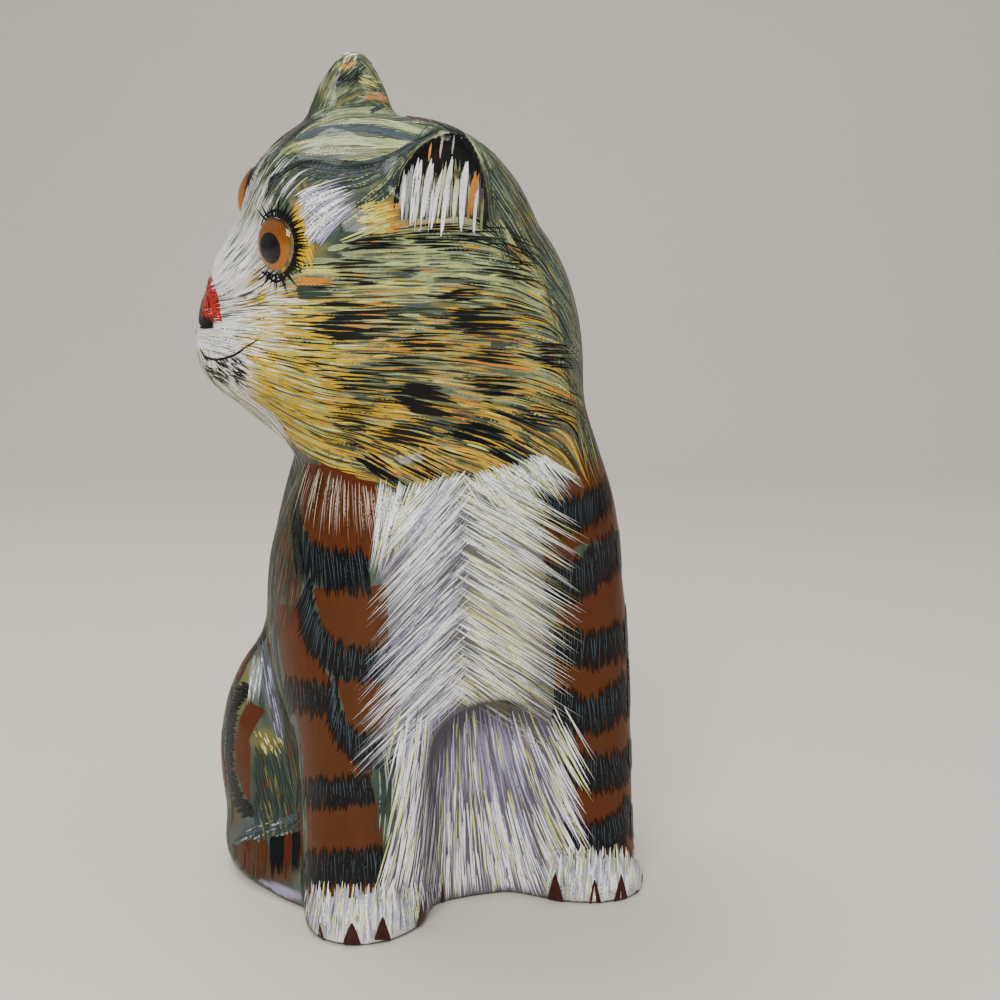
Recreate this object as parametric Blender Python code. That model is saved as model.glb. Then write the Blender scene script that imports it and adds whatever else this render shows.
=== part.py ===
"""A sitting cat carved from one block of wood, its head turned to its right, with two glass eyes.

Metres, +Z up. The underside rests on Z = 0, the chest faces -Y and the cat's right is at -X.
"""

import math

import bmesh
import bpy
from mathutils import Matrix, Vector
from mathutils.bvhtree import BVHTree

# The figure. Its pose and carving are given in shares of its height, 150 shares from underside to ear tip.
FIGURE_HEIGHT = 0.150
SHARE = FIGURE_HEIGHT / 150

# The glass eyes, which are bought to size and let into drilled sockets.
EYE_DIAMETER = 0.0092
EYE_DOME = 0.0030
EYE_RIM = 0.0016
EYE_CLEARANCE = 0.0003
EYE_PROUD = 0.0014

# The arched hollow between the front legs. It narrows from a depth in front of the legs to a depth behind
# their front: each place in hollow depths, with its width as a share of the hollow's width.
HOLLOW_WIDTH = 0.0200
HOLLOW_DEPTH = 0.0105
HOLLOW_HEIGHT = 0.0388
HOLLOW_FLARE = ((-1, 1.95), (0, 1.38), (1, 0.7))

# How finely the carving is worked.
CARVING_GRAIN = 0.0013
SHAPING_PASSES = 18
SANDING_PASSES = 3
FACET_SHARE = 0.165

# Where the middle between left and right runs, and the level sections of the chest: height, centre x,
# centre y, half width, half depth and squareness.
MIDLINE = 1.2
CHEST = (
    (-2, 0, -10, 27, 15, 2.8),
    (8, 0, -10, 27, 15.5, 2.8),
    (22, 0, -11, 28, 17, 2.8),
    (42, -1, -12.5, 31.8, 21, 2.7),
    (60, -1, -12, 32, 24, 2.6),
    (72, 0.2, -11.5, 29.6, 24.5, 2.5),
    (84, 3.1, -8, 24.6, 22, 2.4),
    (96, 4.5, -5, 21, 19, 2.2),
    (108, 6, -4, 13, 13, 2),
)

# The back and rump, in the same terms.
BACK = (
    (-2, 0, 17, 25, 20, 2.4),
    (14, 0, 18, 27, 22, 2.4),
    (34, 0.5, 15, 26, 24, 2.4),
    (55, 1.5, 9, 28, 26, 2.4),
    (76, 2, 3, 26, 25, 2.3),
    (94, 4, 0, 22, 21, 2.2),
    (108, 6, -3, 13, 14, 2),
)

# The left front leg, in the same terms, mirrored to the right.
FRONT_LEG = (
    (-2, 19.8, -21, 11.3, 10.5, 2.0),
    (8, 19.2, -21, 12.1, 12, 2.3),
    (22, 18.2, -20, 13, 13, 2.4),
    (42, 17, -17, 14, 16.5, 2.4),
    (60, 15, -14, 15, 19, 2.4),
    (72, 13, -12, 13, 18, 2.2),
)

# The head's seat: its middle, and how far it turns to the cat's right and leans to its left.
HEAD_PLACE = (-6, -8, 112)
HEAD_TURN = 95
HEAD_LEAN = 28

# Masses of the head, in its own frame: forward, left and up from its middle, then the three half sizes.
SKULL = ((0.9, 0, -0.6), (26.2, 26.5, 29.3))
CHEEKS = ((0, 4, -15), (26, 27, 23.5))
JOWLS = ((6.5, 2, -4.5), (24, 27.3, 24))
BROW = ((10, 0, 9), (19.5, 25, 19))
BRIDGE = ((21.5, 0, -2), (13.8, 9, 15.5))
SNOUT = ((17, 0, -10), (19, 20, 15))
MUZZLE = ((26, 0, -13), (10.7, 12.5, 10.5))
CHIN = ((17, 0, -20), (12.5, 12, 10.5))

# The nape, the neck and the throat, which carry the head down into the shoulders: middle and half sizes.
NAPE = ((10.8, -4, 95.5), (18.7, 21.5, 32))
NECK = ((8, -9.5, 98), (17.8, 20, 29))
THROAT = ((8, -9, 84), (17, 22, 20))

# Ears: where each is rooted in the head's frame, and their half width, half thickness, length, splay and
# how far they open outwards.
LEFT_EAR_ROOT = (1.1, 14.2, 21.2)
RIGHT_EAR_ROOT = (8.8, -14.4, 21)
EAR_WIDTH = 8.5
EAR_THICKNESS = 4.6
EAR_LENGTH = 15.6
EAR_SPLAY = 16
EAR_OPEN = 75
EAR_SQUARENESS = 2.2
EAR_BLUNTNESS = 0.72

# The shallow scoop in an ear's open face: its depth, its middle's height and the half sizes of its ball.
SCOOP_DEPTH = 2.2
SCOOP_HEIGHT = 6.4
SCOOP_BALL = (14, 11.5, 12)

# Eyes: the point on the face that they look out from, and how far they look outwards and up.
EYE_SEAT = (28, 11, 12)
EYE_OUTWARD = 22
EYE_UPWARD = 8

# Haunches, hind paws and front paws: middle and half sizes on the cat's left, mirrored to its right.
HAUNCH = ((18.5, 15, 20), (17, 23, 27))
HIND_PAW = ((26.5, -2, 2.5), (7, 13.5, 6))
FRONT_PAW = ((22.8, -24.3, 1.5), (10, 10.6, 9))

# The tail runs from the rump round the right haunch: points along its middle, then its half thickness
# and the last part of its length, which rounds off to a blunt tip.
TAIL = ((8, 34, 5), (-8, 36, 5), (-22, 28, 4.5), (-29, 16, 4.5), (-29, 3, 4.5), (-24, -7, 4))
TAIL_THICKNESS = 5.5
TAIL_SQUARENESS = 2.6
TAIL_ROUNDING = 0.14
TAIL_TIP = 0.22

# How finely each curve is divided.
SECTION_SIDES = 40
LOFT_STEPS = 6
BALL_SEGMENTS = 40
BALL_RINGS = 24
EAR_STEPS = 11
EAR_ROOT_STEPS = 3
ARCH_STEPS = 14
EYE_SIDES = 24
DOME_STEPS = 6


def smooth_value(before, start, end, after, t):
    """One number read from a smooth curve through four, a part t of the way from start to end."""
    slope_in = (end - before) / 2
    slope_out = (after - start) / 2
    t2, t3 = t * t, t * t * t
    return ((2 * t3 - 3 * t2 + 1) * start + (t3 - 2 * t2 + t) * slope_in
            + (3 * t2 - 2 * t3) * end + (t3 - t2) * slope_out)


def smooth_rows(rows, steps):
    """Rows of numbers with more rows between them, each column read from a smooth curve."""
    last = len(rows) - 1
    result = []
    for index in range(last):
        four = [rows[max(index - 1, 0)], rows[index], rows[index + 1], rows[min(index + 2, last)]]
        for step in range(steps):
            result.append([smooth_value(*column, step / steps) for column in zip(*four)])
    result.append(list(rows[last]))
    return result


def section_ring(mesh, middle, across, along, half_across, half_along, squareness):
    """A closed ring of vertices on a rounded section, which is squarer as squareness grows past 2."""
    ring = []
    for side in range(SECTION_SIDES):
        angle = 2 * math.pi * side / SECTION_SIDES
        c, s = math.cos(angle), math.sin(angle)
        u = math.copysign(abs(c) ** (2 / squareness), c) * half_across
        v = math.copysign(abs(s) ** (2 / squareness), s) * half_along
        ring.append(mesh.verts.new(middle + across * u + along * v))
    return ring


def skin_rings(mesh, rings):
    """Joins rings of vertices into one closed tube."""
    for low, high in zip(rings, rings[1:]):
        for side in range(len(low)):
            after = (side + 1) % len(low)
            mesh.faces.new((low[side], low[after], high[after], high[side]))
    mesh.faces.new(rings[0][::-1])
    mesh.faces.new(rings[-1])


def level_loft(mesh, sections, side=1):
    """A solid through level sections, mirrored in the midline for side -1."""
    rings = []
    for height, x, y, half_width, half_depth, squareness in smooth_rows(sections, LOFT_STEPS):
        middle = Vector((MIDLINE + side * x, y, height)) * SHARE
        rings.append(section_ring(mesh, middle, Vector((1, 0, 0)), Vector((0, 1, 0)),
                                  half_width * SHARE, half_depth * SHARE, squareness))
    skin_rings(mesh, rings)


def ball(mesh, middle, half_sizes, frame=None):
    """A ball stretched to three half sizes, in the head's frame or the figure's."""
    place = (frame or Matrix.Identity(4)) @ Matrix.Translation(Vector(middle) * SHARE)
    sizes = Matrix.Diagonal(Vector([half * SHARE for half in half_sizes] + [1]))
    bmesh.ops.create_uvsphere(mesh, u_segments=BALL_SEGMENTS, v_segments=BALL_RINGS, radius=1,
                              matrix=place @ sizes)


def head_frame():
    """The head's own frame: X forward out of the face, Y to the cat's left, Z up through the crown."""
    facing = Matrix.Rotation(math.radians(-90), 4, 'Z')
    turn = Matrix.Rotation(math.radians(-HEAD_TURN), 4, 'Z')
    lean = Matrix.Rotation(math.radians(-HEAD_LEAN), 4, 'X')
    return Matrix.Translation(Vector(HEAD_PLACE) * SHARE) @ turn @ facing @ lean


def add_tail(mesh):
    """The tail, a rounded cord of wood laid along the foot of the figure."""
    path = [Vector(row) * SHARE for row in smooth_rows(TAIL, LOFT_STEPS)]
    rings = []
    last = len(path) - 1
    for index, middle in enumerate(path):
        ahead = path[min(index + 1, last)] - path[max(index - 1, 0)]
        across = Vector((0, 0, 1)).cross(ahead).normalized()
        over = ahead.normalized().cross(across).normalized()
        part_way = index / last
        into_tip = max(part_way - 1 + TAIL_ROUNDING, 0) / TAIL_ROUNDING
        half = TAIL_THICKNESS * SHARE * max(math.sqrt(1 - into_tip ** 2), TAIL_TIP)
        rings.append(section_ring(mesh, middle, across, over, half, half, TAIL_SQUARENESS))
    skin_rings(mesh, rings)


def ear_frame(side, head):
    """An ear's frame on side 1, left, or -1, right: Z along the ear, X out of its open face."""
    root = Vector(LEFT_EAR_ROOT if side > 0 else RIGHT_EAR_ROOT) * SHARE
    splay = Matrix.Rotation(math.radians(-side * EAR_SPLAY), 4, 'X')
    turn = Matrix.Rotation(math.radians(side * EAR_OPEN), 4, 'Z')
    return head @ Matrix.Translation(root) @ splay @ turn


def ear_blank(side, head):
    """A rounded, tapering ear, wide across and thin from front to back."""
    mesh = bmesh.new()
    frame = ear_frame(side, head)
    rings = []
    spin = frame.to_3x3()
    through, across = spin @ Vector((1, 0, 0)), spin @ Vector((0, 1, 0))
    for step in range(-EAR_ROOT_STEPS, EAR_STEPS):
        part_way = step / EAR_STEPS
        taper = math.cos(part_way * math.pi / 2) ** EAR_BLUNTNESS
        middle = frame @ Vector((0, 0, part_way * EAR_LENGTH * SHARE))
        rings.append(section_ring(mesh, middle, through, across, EAR_THICKNESS * taper * SHARE,
                                  EAR_WIDTH * taper * SHARE, EAR_SQUARENESS))
    skin_rings(mesh, rings)
    return cutter(f"ear_blank_{'left' if side > 0 else 'right'}", mesh)


def new_object(name, mesh, material=None):
    """An object made from a bmesh."""
    data = bpy.data.meshes.new(name)
    bmesh.ops.recalc_face_normals(mesh, faces=mesh.faces)
    mesh.to_mesh(data)
    mesh.free()
    if material:
        data.materials.append(material)
    obj = bpy.data.objects.new(name, data)
    bpy.context.collection.objects.link(obj)
    return obj


def cutter(name, mesh):
    """A solid that only cuts others."""
    obj = new_object(name, mesh)
    obj.hide_render = True
    obj.display_type = 'WIRE'
    return obj


def cut(obj, tool, name):
    """Takes one solid away from another."""
    modifier = obj.modifiers.new(name, 'BOOLEAN')
    modifier.operation = 'DIFFERENCE'
    modifier.solver = 'EXACT'
    modifier.object = tool


def combine(obj, tool, name):
    """Joins one solid to another."""
    modifier = obj.modifiers.new(name, 'BOOLEAN')
    modifier.operation = 'UNION'
    modifier.solver = 'EXACT'
    modifier.object = tool


def sand(obj, name, passes):
    """Rounds off creases and corners."""
    modifier = obj.modifiers.new(name, 'SMOOTH')
    modifier.factor = 0.5
    modifier.iterations = passes


def unify(obj, name):
    """Fuses what overlaps into one skin."""
    modifier = obj.modifiers.new(name, 'REMESH')
    modifier.mode = 'VOXEL'
    modifier.voxel_size = CARVING_GRAIN


def hollow_cutter():
    """The arch-topped hollow between the front legs, open at the front and the underside."""
    mesh = bmesh.new()
    half = HOLLOW_WIDTH / 2
    leg_front = (FRONT_LEG[0][2] - FRONT_LEG[0][4]) * SHARE
    outline = [(half, -HOLLOW_WIDTH)]
    for step in range(ARCH_STEPS + 1):
        angle = math.pi * step / ARCH_STEPS
        outline.append((half * math.cos(angle), HOLLOW_HEIGHT - half + half * math.sin(angle)))
    outline.append((-half, -HOLLOW_WIDTH))
    rings = []
    for depths, widen in HOLLOW_FLARE:
        y = leg_front + depths * HOLLOW_DEPTH
        rings.append([mesh.verts.new((MIDLINE * SHARE + x * widen, y, z)) for x, z in outline])
    skin_rings(mesh, rings)
    return cutter("hollow_cutter", mesh)


def scoop_cutter(side, head):
    """The hollow of an ear, which runs out into the side of the head below it."""
    mesh = bmesh.new()
    middle = (EAR_THICKNESS - SCOOP_DEPTH + SCOOP_BALL[0], 0, SCOOP_HEIGHT)
    ball(mesh, middle, SCOOP_BALL, ear_frame(side, head))
    return cutter(f"ear_scoop_{'left' if side > 0 else 'right'}", mesh)


def floor_cutter():
    """Everything under the flat underside."""
    mesh = bmesh.new()
    reach = FIGURE_HEIGHT
    bmesh.ops.create_cube(mesh, size=2 * reach, matrix=Matrix.Translation((0, 0, -reach)))
    return cutter("floor_cutter", mesh)


def carve_blank(material):
    """The whole cat before its sockets are drilled."""
    head = head_frame()
    mesh = bmesh.new()
    level_loft(mesh, CHEST)
    level_loft(mesh, BACK)
    for middle, sizes in (SKULL, CHEEKS, JOWLS, BROW, BRIDGE, SNOUT, MUZZLE, CHIN):
        ball(mesh, middle, sizes, head)
    ball(mesh, *NAPE)
    ball(mesh, *NECK)
    ball(mesh, *THROAT)
    for side in (1, -1):
        level_loft(mesh, FRONT_LEG, side)
        for middle, sizes in (HAUNCH, HIND_PAW, FRONT_PAW):
            ball(mesh, (MIDLINE + side * middle[0], middle[1], middle[2]), sizes)
    add_tail(mesh)
    cat = new_object("cat_body", mesh, material)
    unify(cat, "fuse")
    cut(cat, hollow_cutter(), "hollow")
    unify(cat, "fuse round the hollow")
    sand(cat, "shape", SHAPING_PASSES)
    for side in (1, -1):
        combine(cat, ear_blank(side, head), f"ear {side}")
        cut(cat, scoop_cutter(side, head), f"ear scoop {side}")
    unify(cat, "fuse the ears")
    sand(cat, "sand", SANDING_PASSES)
    facets = cat.modifiers.new("facets", 'DECIMATE')
    facets.ratio = FACET_SHARE
    cut(cat, floor_cutter(), "underside")
    return cat


def eye_frame(cat, side, head):
    """An eye's frame: its middle is where the eye's axis meets the carved face, Z looks outwards."""
    seat = head @ (Vector((EYE_SEAT[0], side * EYE_SEAT[1], EYE_SEAT[2])) * SHARE)
    outward = math.radians(side * EYE_OUTWARD)
    upward = math.radians(EYE_UPWARD)
    level = math.cos(upward)
    gaze = head.to_3x3() @ Vector((math.cos(outward) * level, math.sin(outward) * level, math.sin(upward)))
    depsgraph = bpy.context.evaluated_depsgraph_get()
    tree = BVHTree.FromObject(cat.evaluated_get(depsgraph), depsgraph)
    hit = tree.ray_cast(seat + gaze * (FIGURE_HEIGHT / 2), -gaze)[0]
    turn = gaze.to_track_quat('Z', 'Y').to_matrix().to_4x4()
    return Matrix.Translation(hit) @ turn


def turned(mesh, profile, frame):
    """A solid turned from a profile of radius and height, closed on its axis at both ends."""
    rings = []
    for radius, height in profile:
        ring = []
        for side in range(EYE_SIDES):
            angle = 2 * math.pi * side / EYE_SIDES
            point = Vector((radius * math.cos(angle), radius * math.sin(angle), height))
            ring.append(mesh.verts.new(frame @ point))
        rings.append(ring)
    skin_rings(mesh, rings)


def glass_eye(name, frame, material):
    """A domed glass eye with a short straight rim and a flat back."""
    mesh = bmesh.new()
    radius = EYE_DIAMETER / 2
    rim = EYE_PROUD - EYE_DOME
    profile = [(radius, rim - EYE_RIM)]
    for step in range(DOME_STEPS):
        angle = math.pi / 2 * step / DOME_STEPS
        profile.append((radius * math.cos(angle), rim + EYE_DOME * math.sin(angle)))
    turned(mesh, profile, frame)
    return new_object(name, mesh, material)


def socket_cutter(name, frame):
    """The drilled socket that an eye sits in, with its clearance all round."""
    mesh = bmesh.new()
    radius = EYE_DIAMETER / 2 + EYE_CLEARANCE
    floor = EYE_PROUD - EYE_DOME - EYE_RIM - EYE_CLEARANCE
    turned(mesh, [(radius, floor), (radius, EYE_DIAMETER)], frame)
    return cutter(name, mesh)


def surface(name, colour, roughness, coat=0):
    """A plain material."""
    material = bpy.data.materials.new(name)
    material.use_nodes = True
    shader = material.node_tree.nodes["Principled BSDF"]
    shader.inputs["Base Color"].default_value = (*colour, 1)
    shader.inputs["Roughness"].default_value = roughness
    shader.inputs["Coat Weight"].default_value = coat
    return material


def clear_scene():
    """Starts from an empty scene."""
    for obj in list(bpy.data.objects):
        bpy.data.objects.remove(obj, do_unlink=True)


def main():
    clear_scene()
    lacquered_wood = surface("painted_wood", (0.16, 0.15, 0.09), 0.25, coat=1)
    amber_glass = surface("glass", (0.55, 0.27, 0.03), 0.03)
    head = head_frame()
    cat = carve_blank(lacquered_wood)
    frames = {"left": eye_frame(cat, 1, head), "right": eye_frame(cat, -1, head)}
    for name, frame in frames.items():
        cut(cat, socket_cutter(f"socket_{name}", frame), f"socket {name}")
        glass_eye(f"eye_{name}", frame, amber_glass)


main()
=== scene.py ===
"""The looks of a sitting cat carved from wood, painted by hand as a lacquered tabby, with glass eyes."""

import math
import random

import bmesh
import bpy
import numpy as np
from mathutils import Matrix, Vector, noise
from mathutils.bvhtree import BVHTree


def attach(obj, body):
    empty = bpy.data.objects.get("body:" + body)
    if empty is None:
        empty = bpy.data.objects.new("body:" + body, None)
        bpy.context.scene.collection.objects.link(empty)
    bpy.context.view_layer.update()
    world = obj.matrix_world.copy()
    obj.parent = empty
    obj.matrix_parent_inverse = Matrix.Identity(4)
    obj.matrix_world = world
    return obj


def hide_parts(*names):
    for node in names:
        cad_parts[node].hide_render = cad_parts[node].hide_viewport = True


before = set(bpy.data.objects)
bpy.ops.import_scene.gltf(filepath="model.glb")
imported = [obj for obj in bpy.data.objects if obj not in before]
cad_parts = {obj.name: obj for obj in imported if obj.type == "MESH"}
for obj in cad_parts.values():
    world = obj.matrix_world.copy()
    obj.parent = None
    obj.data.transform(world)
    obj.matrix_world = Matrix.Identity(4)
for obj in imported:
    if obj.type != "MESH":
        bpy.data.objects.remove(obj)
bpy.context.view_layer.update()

MM = 0.001

# The camera: where it stands, how far it looks down and round, and its focal length in picture widths.
PICTURE = 1000
FOCAL = 1.6
CAMERA_PLACE = Vector((-0.1125, -0.277, 0.107))
CAMERA_DOWN = 6.913
CAMERA_ROUND = -25

# The head's seat on the body and the figure's midline, in millimetres and degrees.
HEAD_PLACE = Vector((-6, -8, 112)) * MM
HEAD_TURN = 95
HEAD_LEAN = 28
MIDLINE = 1.2 * MM
JAW_HEIGHT = 78 * MM

# The surface of the carving: how finely it is worked and sanded.
GRAIN = 0.8 * MM
SANDING = 14

# The middles of the ears in the head's frame, how far they reach, and how much less they are sanded.
EARS = (Vector((1.1, 17, 30)) * MM, Vector((8.8, -17, 30)) * MM)
EAR_REACH = 13 * MM
EAR_SANDING = 5

# How far the coats of paint stand off the wood, and how much each stroke lies over the one before.
UNDER = 0.03 * MM
OVER = 0.15 * MM
TOP = 0.2 * MM
THICKNESS = 0.000014 * MM

# How far the surface turns from a viewpoint before it is left to another, and before nothing is laid.
TURNED_AWAY = 0.3
GRAZING = 0.12

# The lacquer, and the pupil's radius.
COAT = 0.3
COAT_ROUGHNESS = 0.08
PUPIL = 2.55 * MM


def srgb(red, green, blue):
    """A colour mixed from 0 to 255, as light."""
    return tuple(((c / 255 + 0.055) / 1.055) ** 2.4 if c > 10 else c / 255 / 12.92
                 for c in (red, green, blue))


def set_camera():
    """The camera at the photograph's place. Returns its matrix."""
    data = bpy.data.cameras.new("camera")
    data.sensor_width = 36
    data.lens = FOCAL * data.sensor_width
    data.clip_start = 0.01
    camera = bpy.data.objects.new("camera", data)
    camera.location = CAMERA_PLACE
    camera.rotation_euler = (math.radians(90 - CAMERA_DOWN), 0, math.radians(CAMERA_ROUND))
    bpy.context.scene.collection.objects.link(camera)
    bpy.context.scene.camera = camera
    bpy.context.view_layer.update()
    return camera.matrix_world.copy()


camera_matrix = set_camera()


# Geometry helpers

def new_piece(name, mesh, material):
    """An object made from a bmesh."""
    data = bpy.data.meshes.new(name)
    mesh.to_mesh(data)
    mesh.free()
    for polygon in data.polygons:
        polygon.use_smooth = True
    data.materials.append(material)
    obj = bpy.data.objects.new(name, data)
    bpy.context.scene.collection.objects.link(obj)
    return obj


def head_frame():
    """The head's own frame: X forward out of the face, Y to the cat's left, Z up through the crown."""
    turn = Matrix.Rotation(math.radians(-HEAD_TURN), 4, 'Z')
    quarter = Matrix.Rotation(math.radians(-90), 4, 'Z')
    lean = Matrix.Rotation(math.radians(-HEAD_LEAN), 4, 'X')
    return Matrix.Translation(HEAD_PLACE) @ turn @ quarter @ lean


HEAD = head_frame()


# Shader helpers

class Value:
    """A number in a shader, on which expressions add Math nodes."""

    def __init__(self, shader, socket):
        self.shader = shader
        self.socket = socket

    def math(self, operation, *others, before=()):
        return self.shader.node("ShaderNodeMath", {"operation": operation}, [*before, self, *others])

    def __add__(self, other): return self.math('ADD', other)
    def __radd__(self, other): return self.math('ADD', other)
    def __sub__(self, other): return self.math('SUBTRACT', other)
    def __rsub__(self, other): return self.math('SUBTRACT', before=(other,))
    def __mul__(self, other): return self.math('MULTIPLY', other)
    def __rmul__(self, other): return self.math('MULTIPLY', other)
    def __truediv__(self, other): return self.math('DIVIDE', other)


class Shader:
    """A Principled material and the nodes that feed it."""

    def __init__(self, name, roughness=0.5, **plain):
        self.material = bpy.data.materials.new(name)
        self.material.use_nodes = True
        self.tree = self.material.node_tree
        self.principled = self.tree.nodes["Principled BSDF"]
        self.principled.inputs["Roughness"].default_value = roughness
        for key, value in plain.items():
            key = key.replace("_", " ").title().replace("Ior", "IOR")
            self.principled.inputs[key].default_value = value

    def node(self, kind, settings=None, inputs=(), output=0):
        """Adds a node: its type, its settings, and its sockets' values or links by order or name."""
        node = self.tree.nodes.new(kind)
        for key, value in (settings or {}).items():
            setattr(node, key, value)
        pairs = inputs.items() if isinstance(inputs, dict) else enumerate(inputs)
        for key, value in pairs:
            self.feed(node.inputs[key], value)
        return Value(self, node.outputs[output])

    def feed(self, socket, value):
        """Gives a socket a value or a link."""
        if isinstance(value, Value):
            self.tree.links.new(value.socket, socket)
        else:
            socket.default_value = value

    def attribute(self, name, output="Fac"):
        return self.node("ShaderNodeAttribute", {"attribute_name": name}, output=output)

    def mix(self, factor, first, second):
        """A colour between two others."""
        first, second = [c if isinstance(c, Value) else (*c, 1) for c in (first, second)]
        return self.node("ShaderNodeMix", {"data_type": 'RGBA'}, {0: factor, 6: first, 7: second}, output=2)

    def step(self, value, low, high):
        """0 below low, 1 above high, and smooth between."""
        return self.node("ShaderNodeMapRange", {"interpolation_type": 'SMOOTHSTEP'},
                         [value, low, high, 0.0, 1.0])

    def noise(self, scale, detail=2.0, stretch=(1, 1, 1)):
        """Noise that is the same whichever way the object is seen, stretched along its axes."""
        place = self.node("ShaderNodeTexCoord", output="Object")
        place = self.node("ShaderNodeMapping", {}, {"Vector": place, "Scale": stretch})
        return self.node("ShaderNodeTexNoise", {}, {"Vector": place, "Scale": scale, "Detail": detail})

    def finish(self, colour, bump=None, strength=0.0, distance=0.0):
        """Gives the material its colour, and its bump where it has one."""
        inputs = self.principled.inputs
        self.feed(inputs["Base Color"], colour if isinstance(colour, Value) else (*colour, 1))
        if bump is not None:
            self.feed(inputs["Normal"], self.node(
                "ShaderNodeBump", {}, {"Strength": strength, "Distance": distance, "Height": bump}))
        return self.material


# Viewpoints, from which paint is laid on the carving

class Viewpoint:
    """A place that the carving is painted from, with positions in parts of a picture a thousand wide."""

    def __init__(self, matrix, mirror=None, others=(), lowest=0.0):
        self.matrix = matrix
        self.others = others
        self.lowest = lowest
        self.rivals = ()
        self.mirror = mirror or Matrix.Identity(4)
        self.place = self.mirror @ matrix.translation
        self.unmirror = (self.mirror @ matrix).inverted()

    def ray(self, x, y):
        """The direction through a point of the picture."""
        local = Vector(((x - PICTURE / 2) / (FOCAL * PICTURE), (PICTURE / 2 - y) / (FOCAL * PICTURE), -1))
        return ((self.mirror @ self.matrix).to_3x3() @ local).normalized()

    def facing(self, point, normal):
        """How straight this viewpoint sees a spot: 1 is square on, and less than 0 is turned away."""
        return (self.place - point).normalized().dot(normal)

    def paints(self, point, normal):
        """Whether a spot is left to this viewpoint: turned from the others, and no rival sees it better."""
        mine = self.facing(point, normal)
        return (mine > GRAZING and point.z >= self.lowest
                and all(other.facing(point, normal) < TURNED_AWAY for other in self.others)
                and all(rival.facing(point, normal) <= mine for rival in self.rivals))

    def pixels(self, points):
        """Where points fall in the picture: an array of x, y and depth."""
        matrix = np.array(self.unmirror)
        local = np.asarray(points) @ matrix[:3, :3].T + matrix[:3, 3]
        depth = -local[:, 2]
        x = PICTURE / 2 + FOCAL * PICTURE * local[:, 0] / depth
        y = PICTURE / 2 - FOCAL * PICTURE * local[:, 1] / depth
        return np.column_stack((x, y, depth))


def mirror_plane(point, normal):
    """The matrix that mirrors in a plane."""
    n = Vector(normal).normalized()
    flip = Matrix([[(i == j) - 2 * n[i] * n[j] for j in range(3)] for i in range(3)]).to_4x4()
    return Matrix.Translation(point) @ flip @ Matrix.Translation(-Vector(point))


class Surface:
    """The carved surface, where rays from a viewpoint meet it."""

    def __init__(self, obj):
        mesh = bmesh.new()
        mesh.from_mesh(obj.data)
        self.tree = BVHTree.FromBMesh(mesh)
        mesh.free()

    def seen(self, view, x, y):
        """The surface point and normal behind a point of a viewpoint's picture."""
        point, normal, _, distance = self.tree.ray_cast(view.place, view.ray(x, y))
        return (point, normal, distance) if point else None


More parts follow.
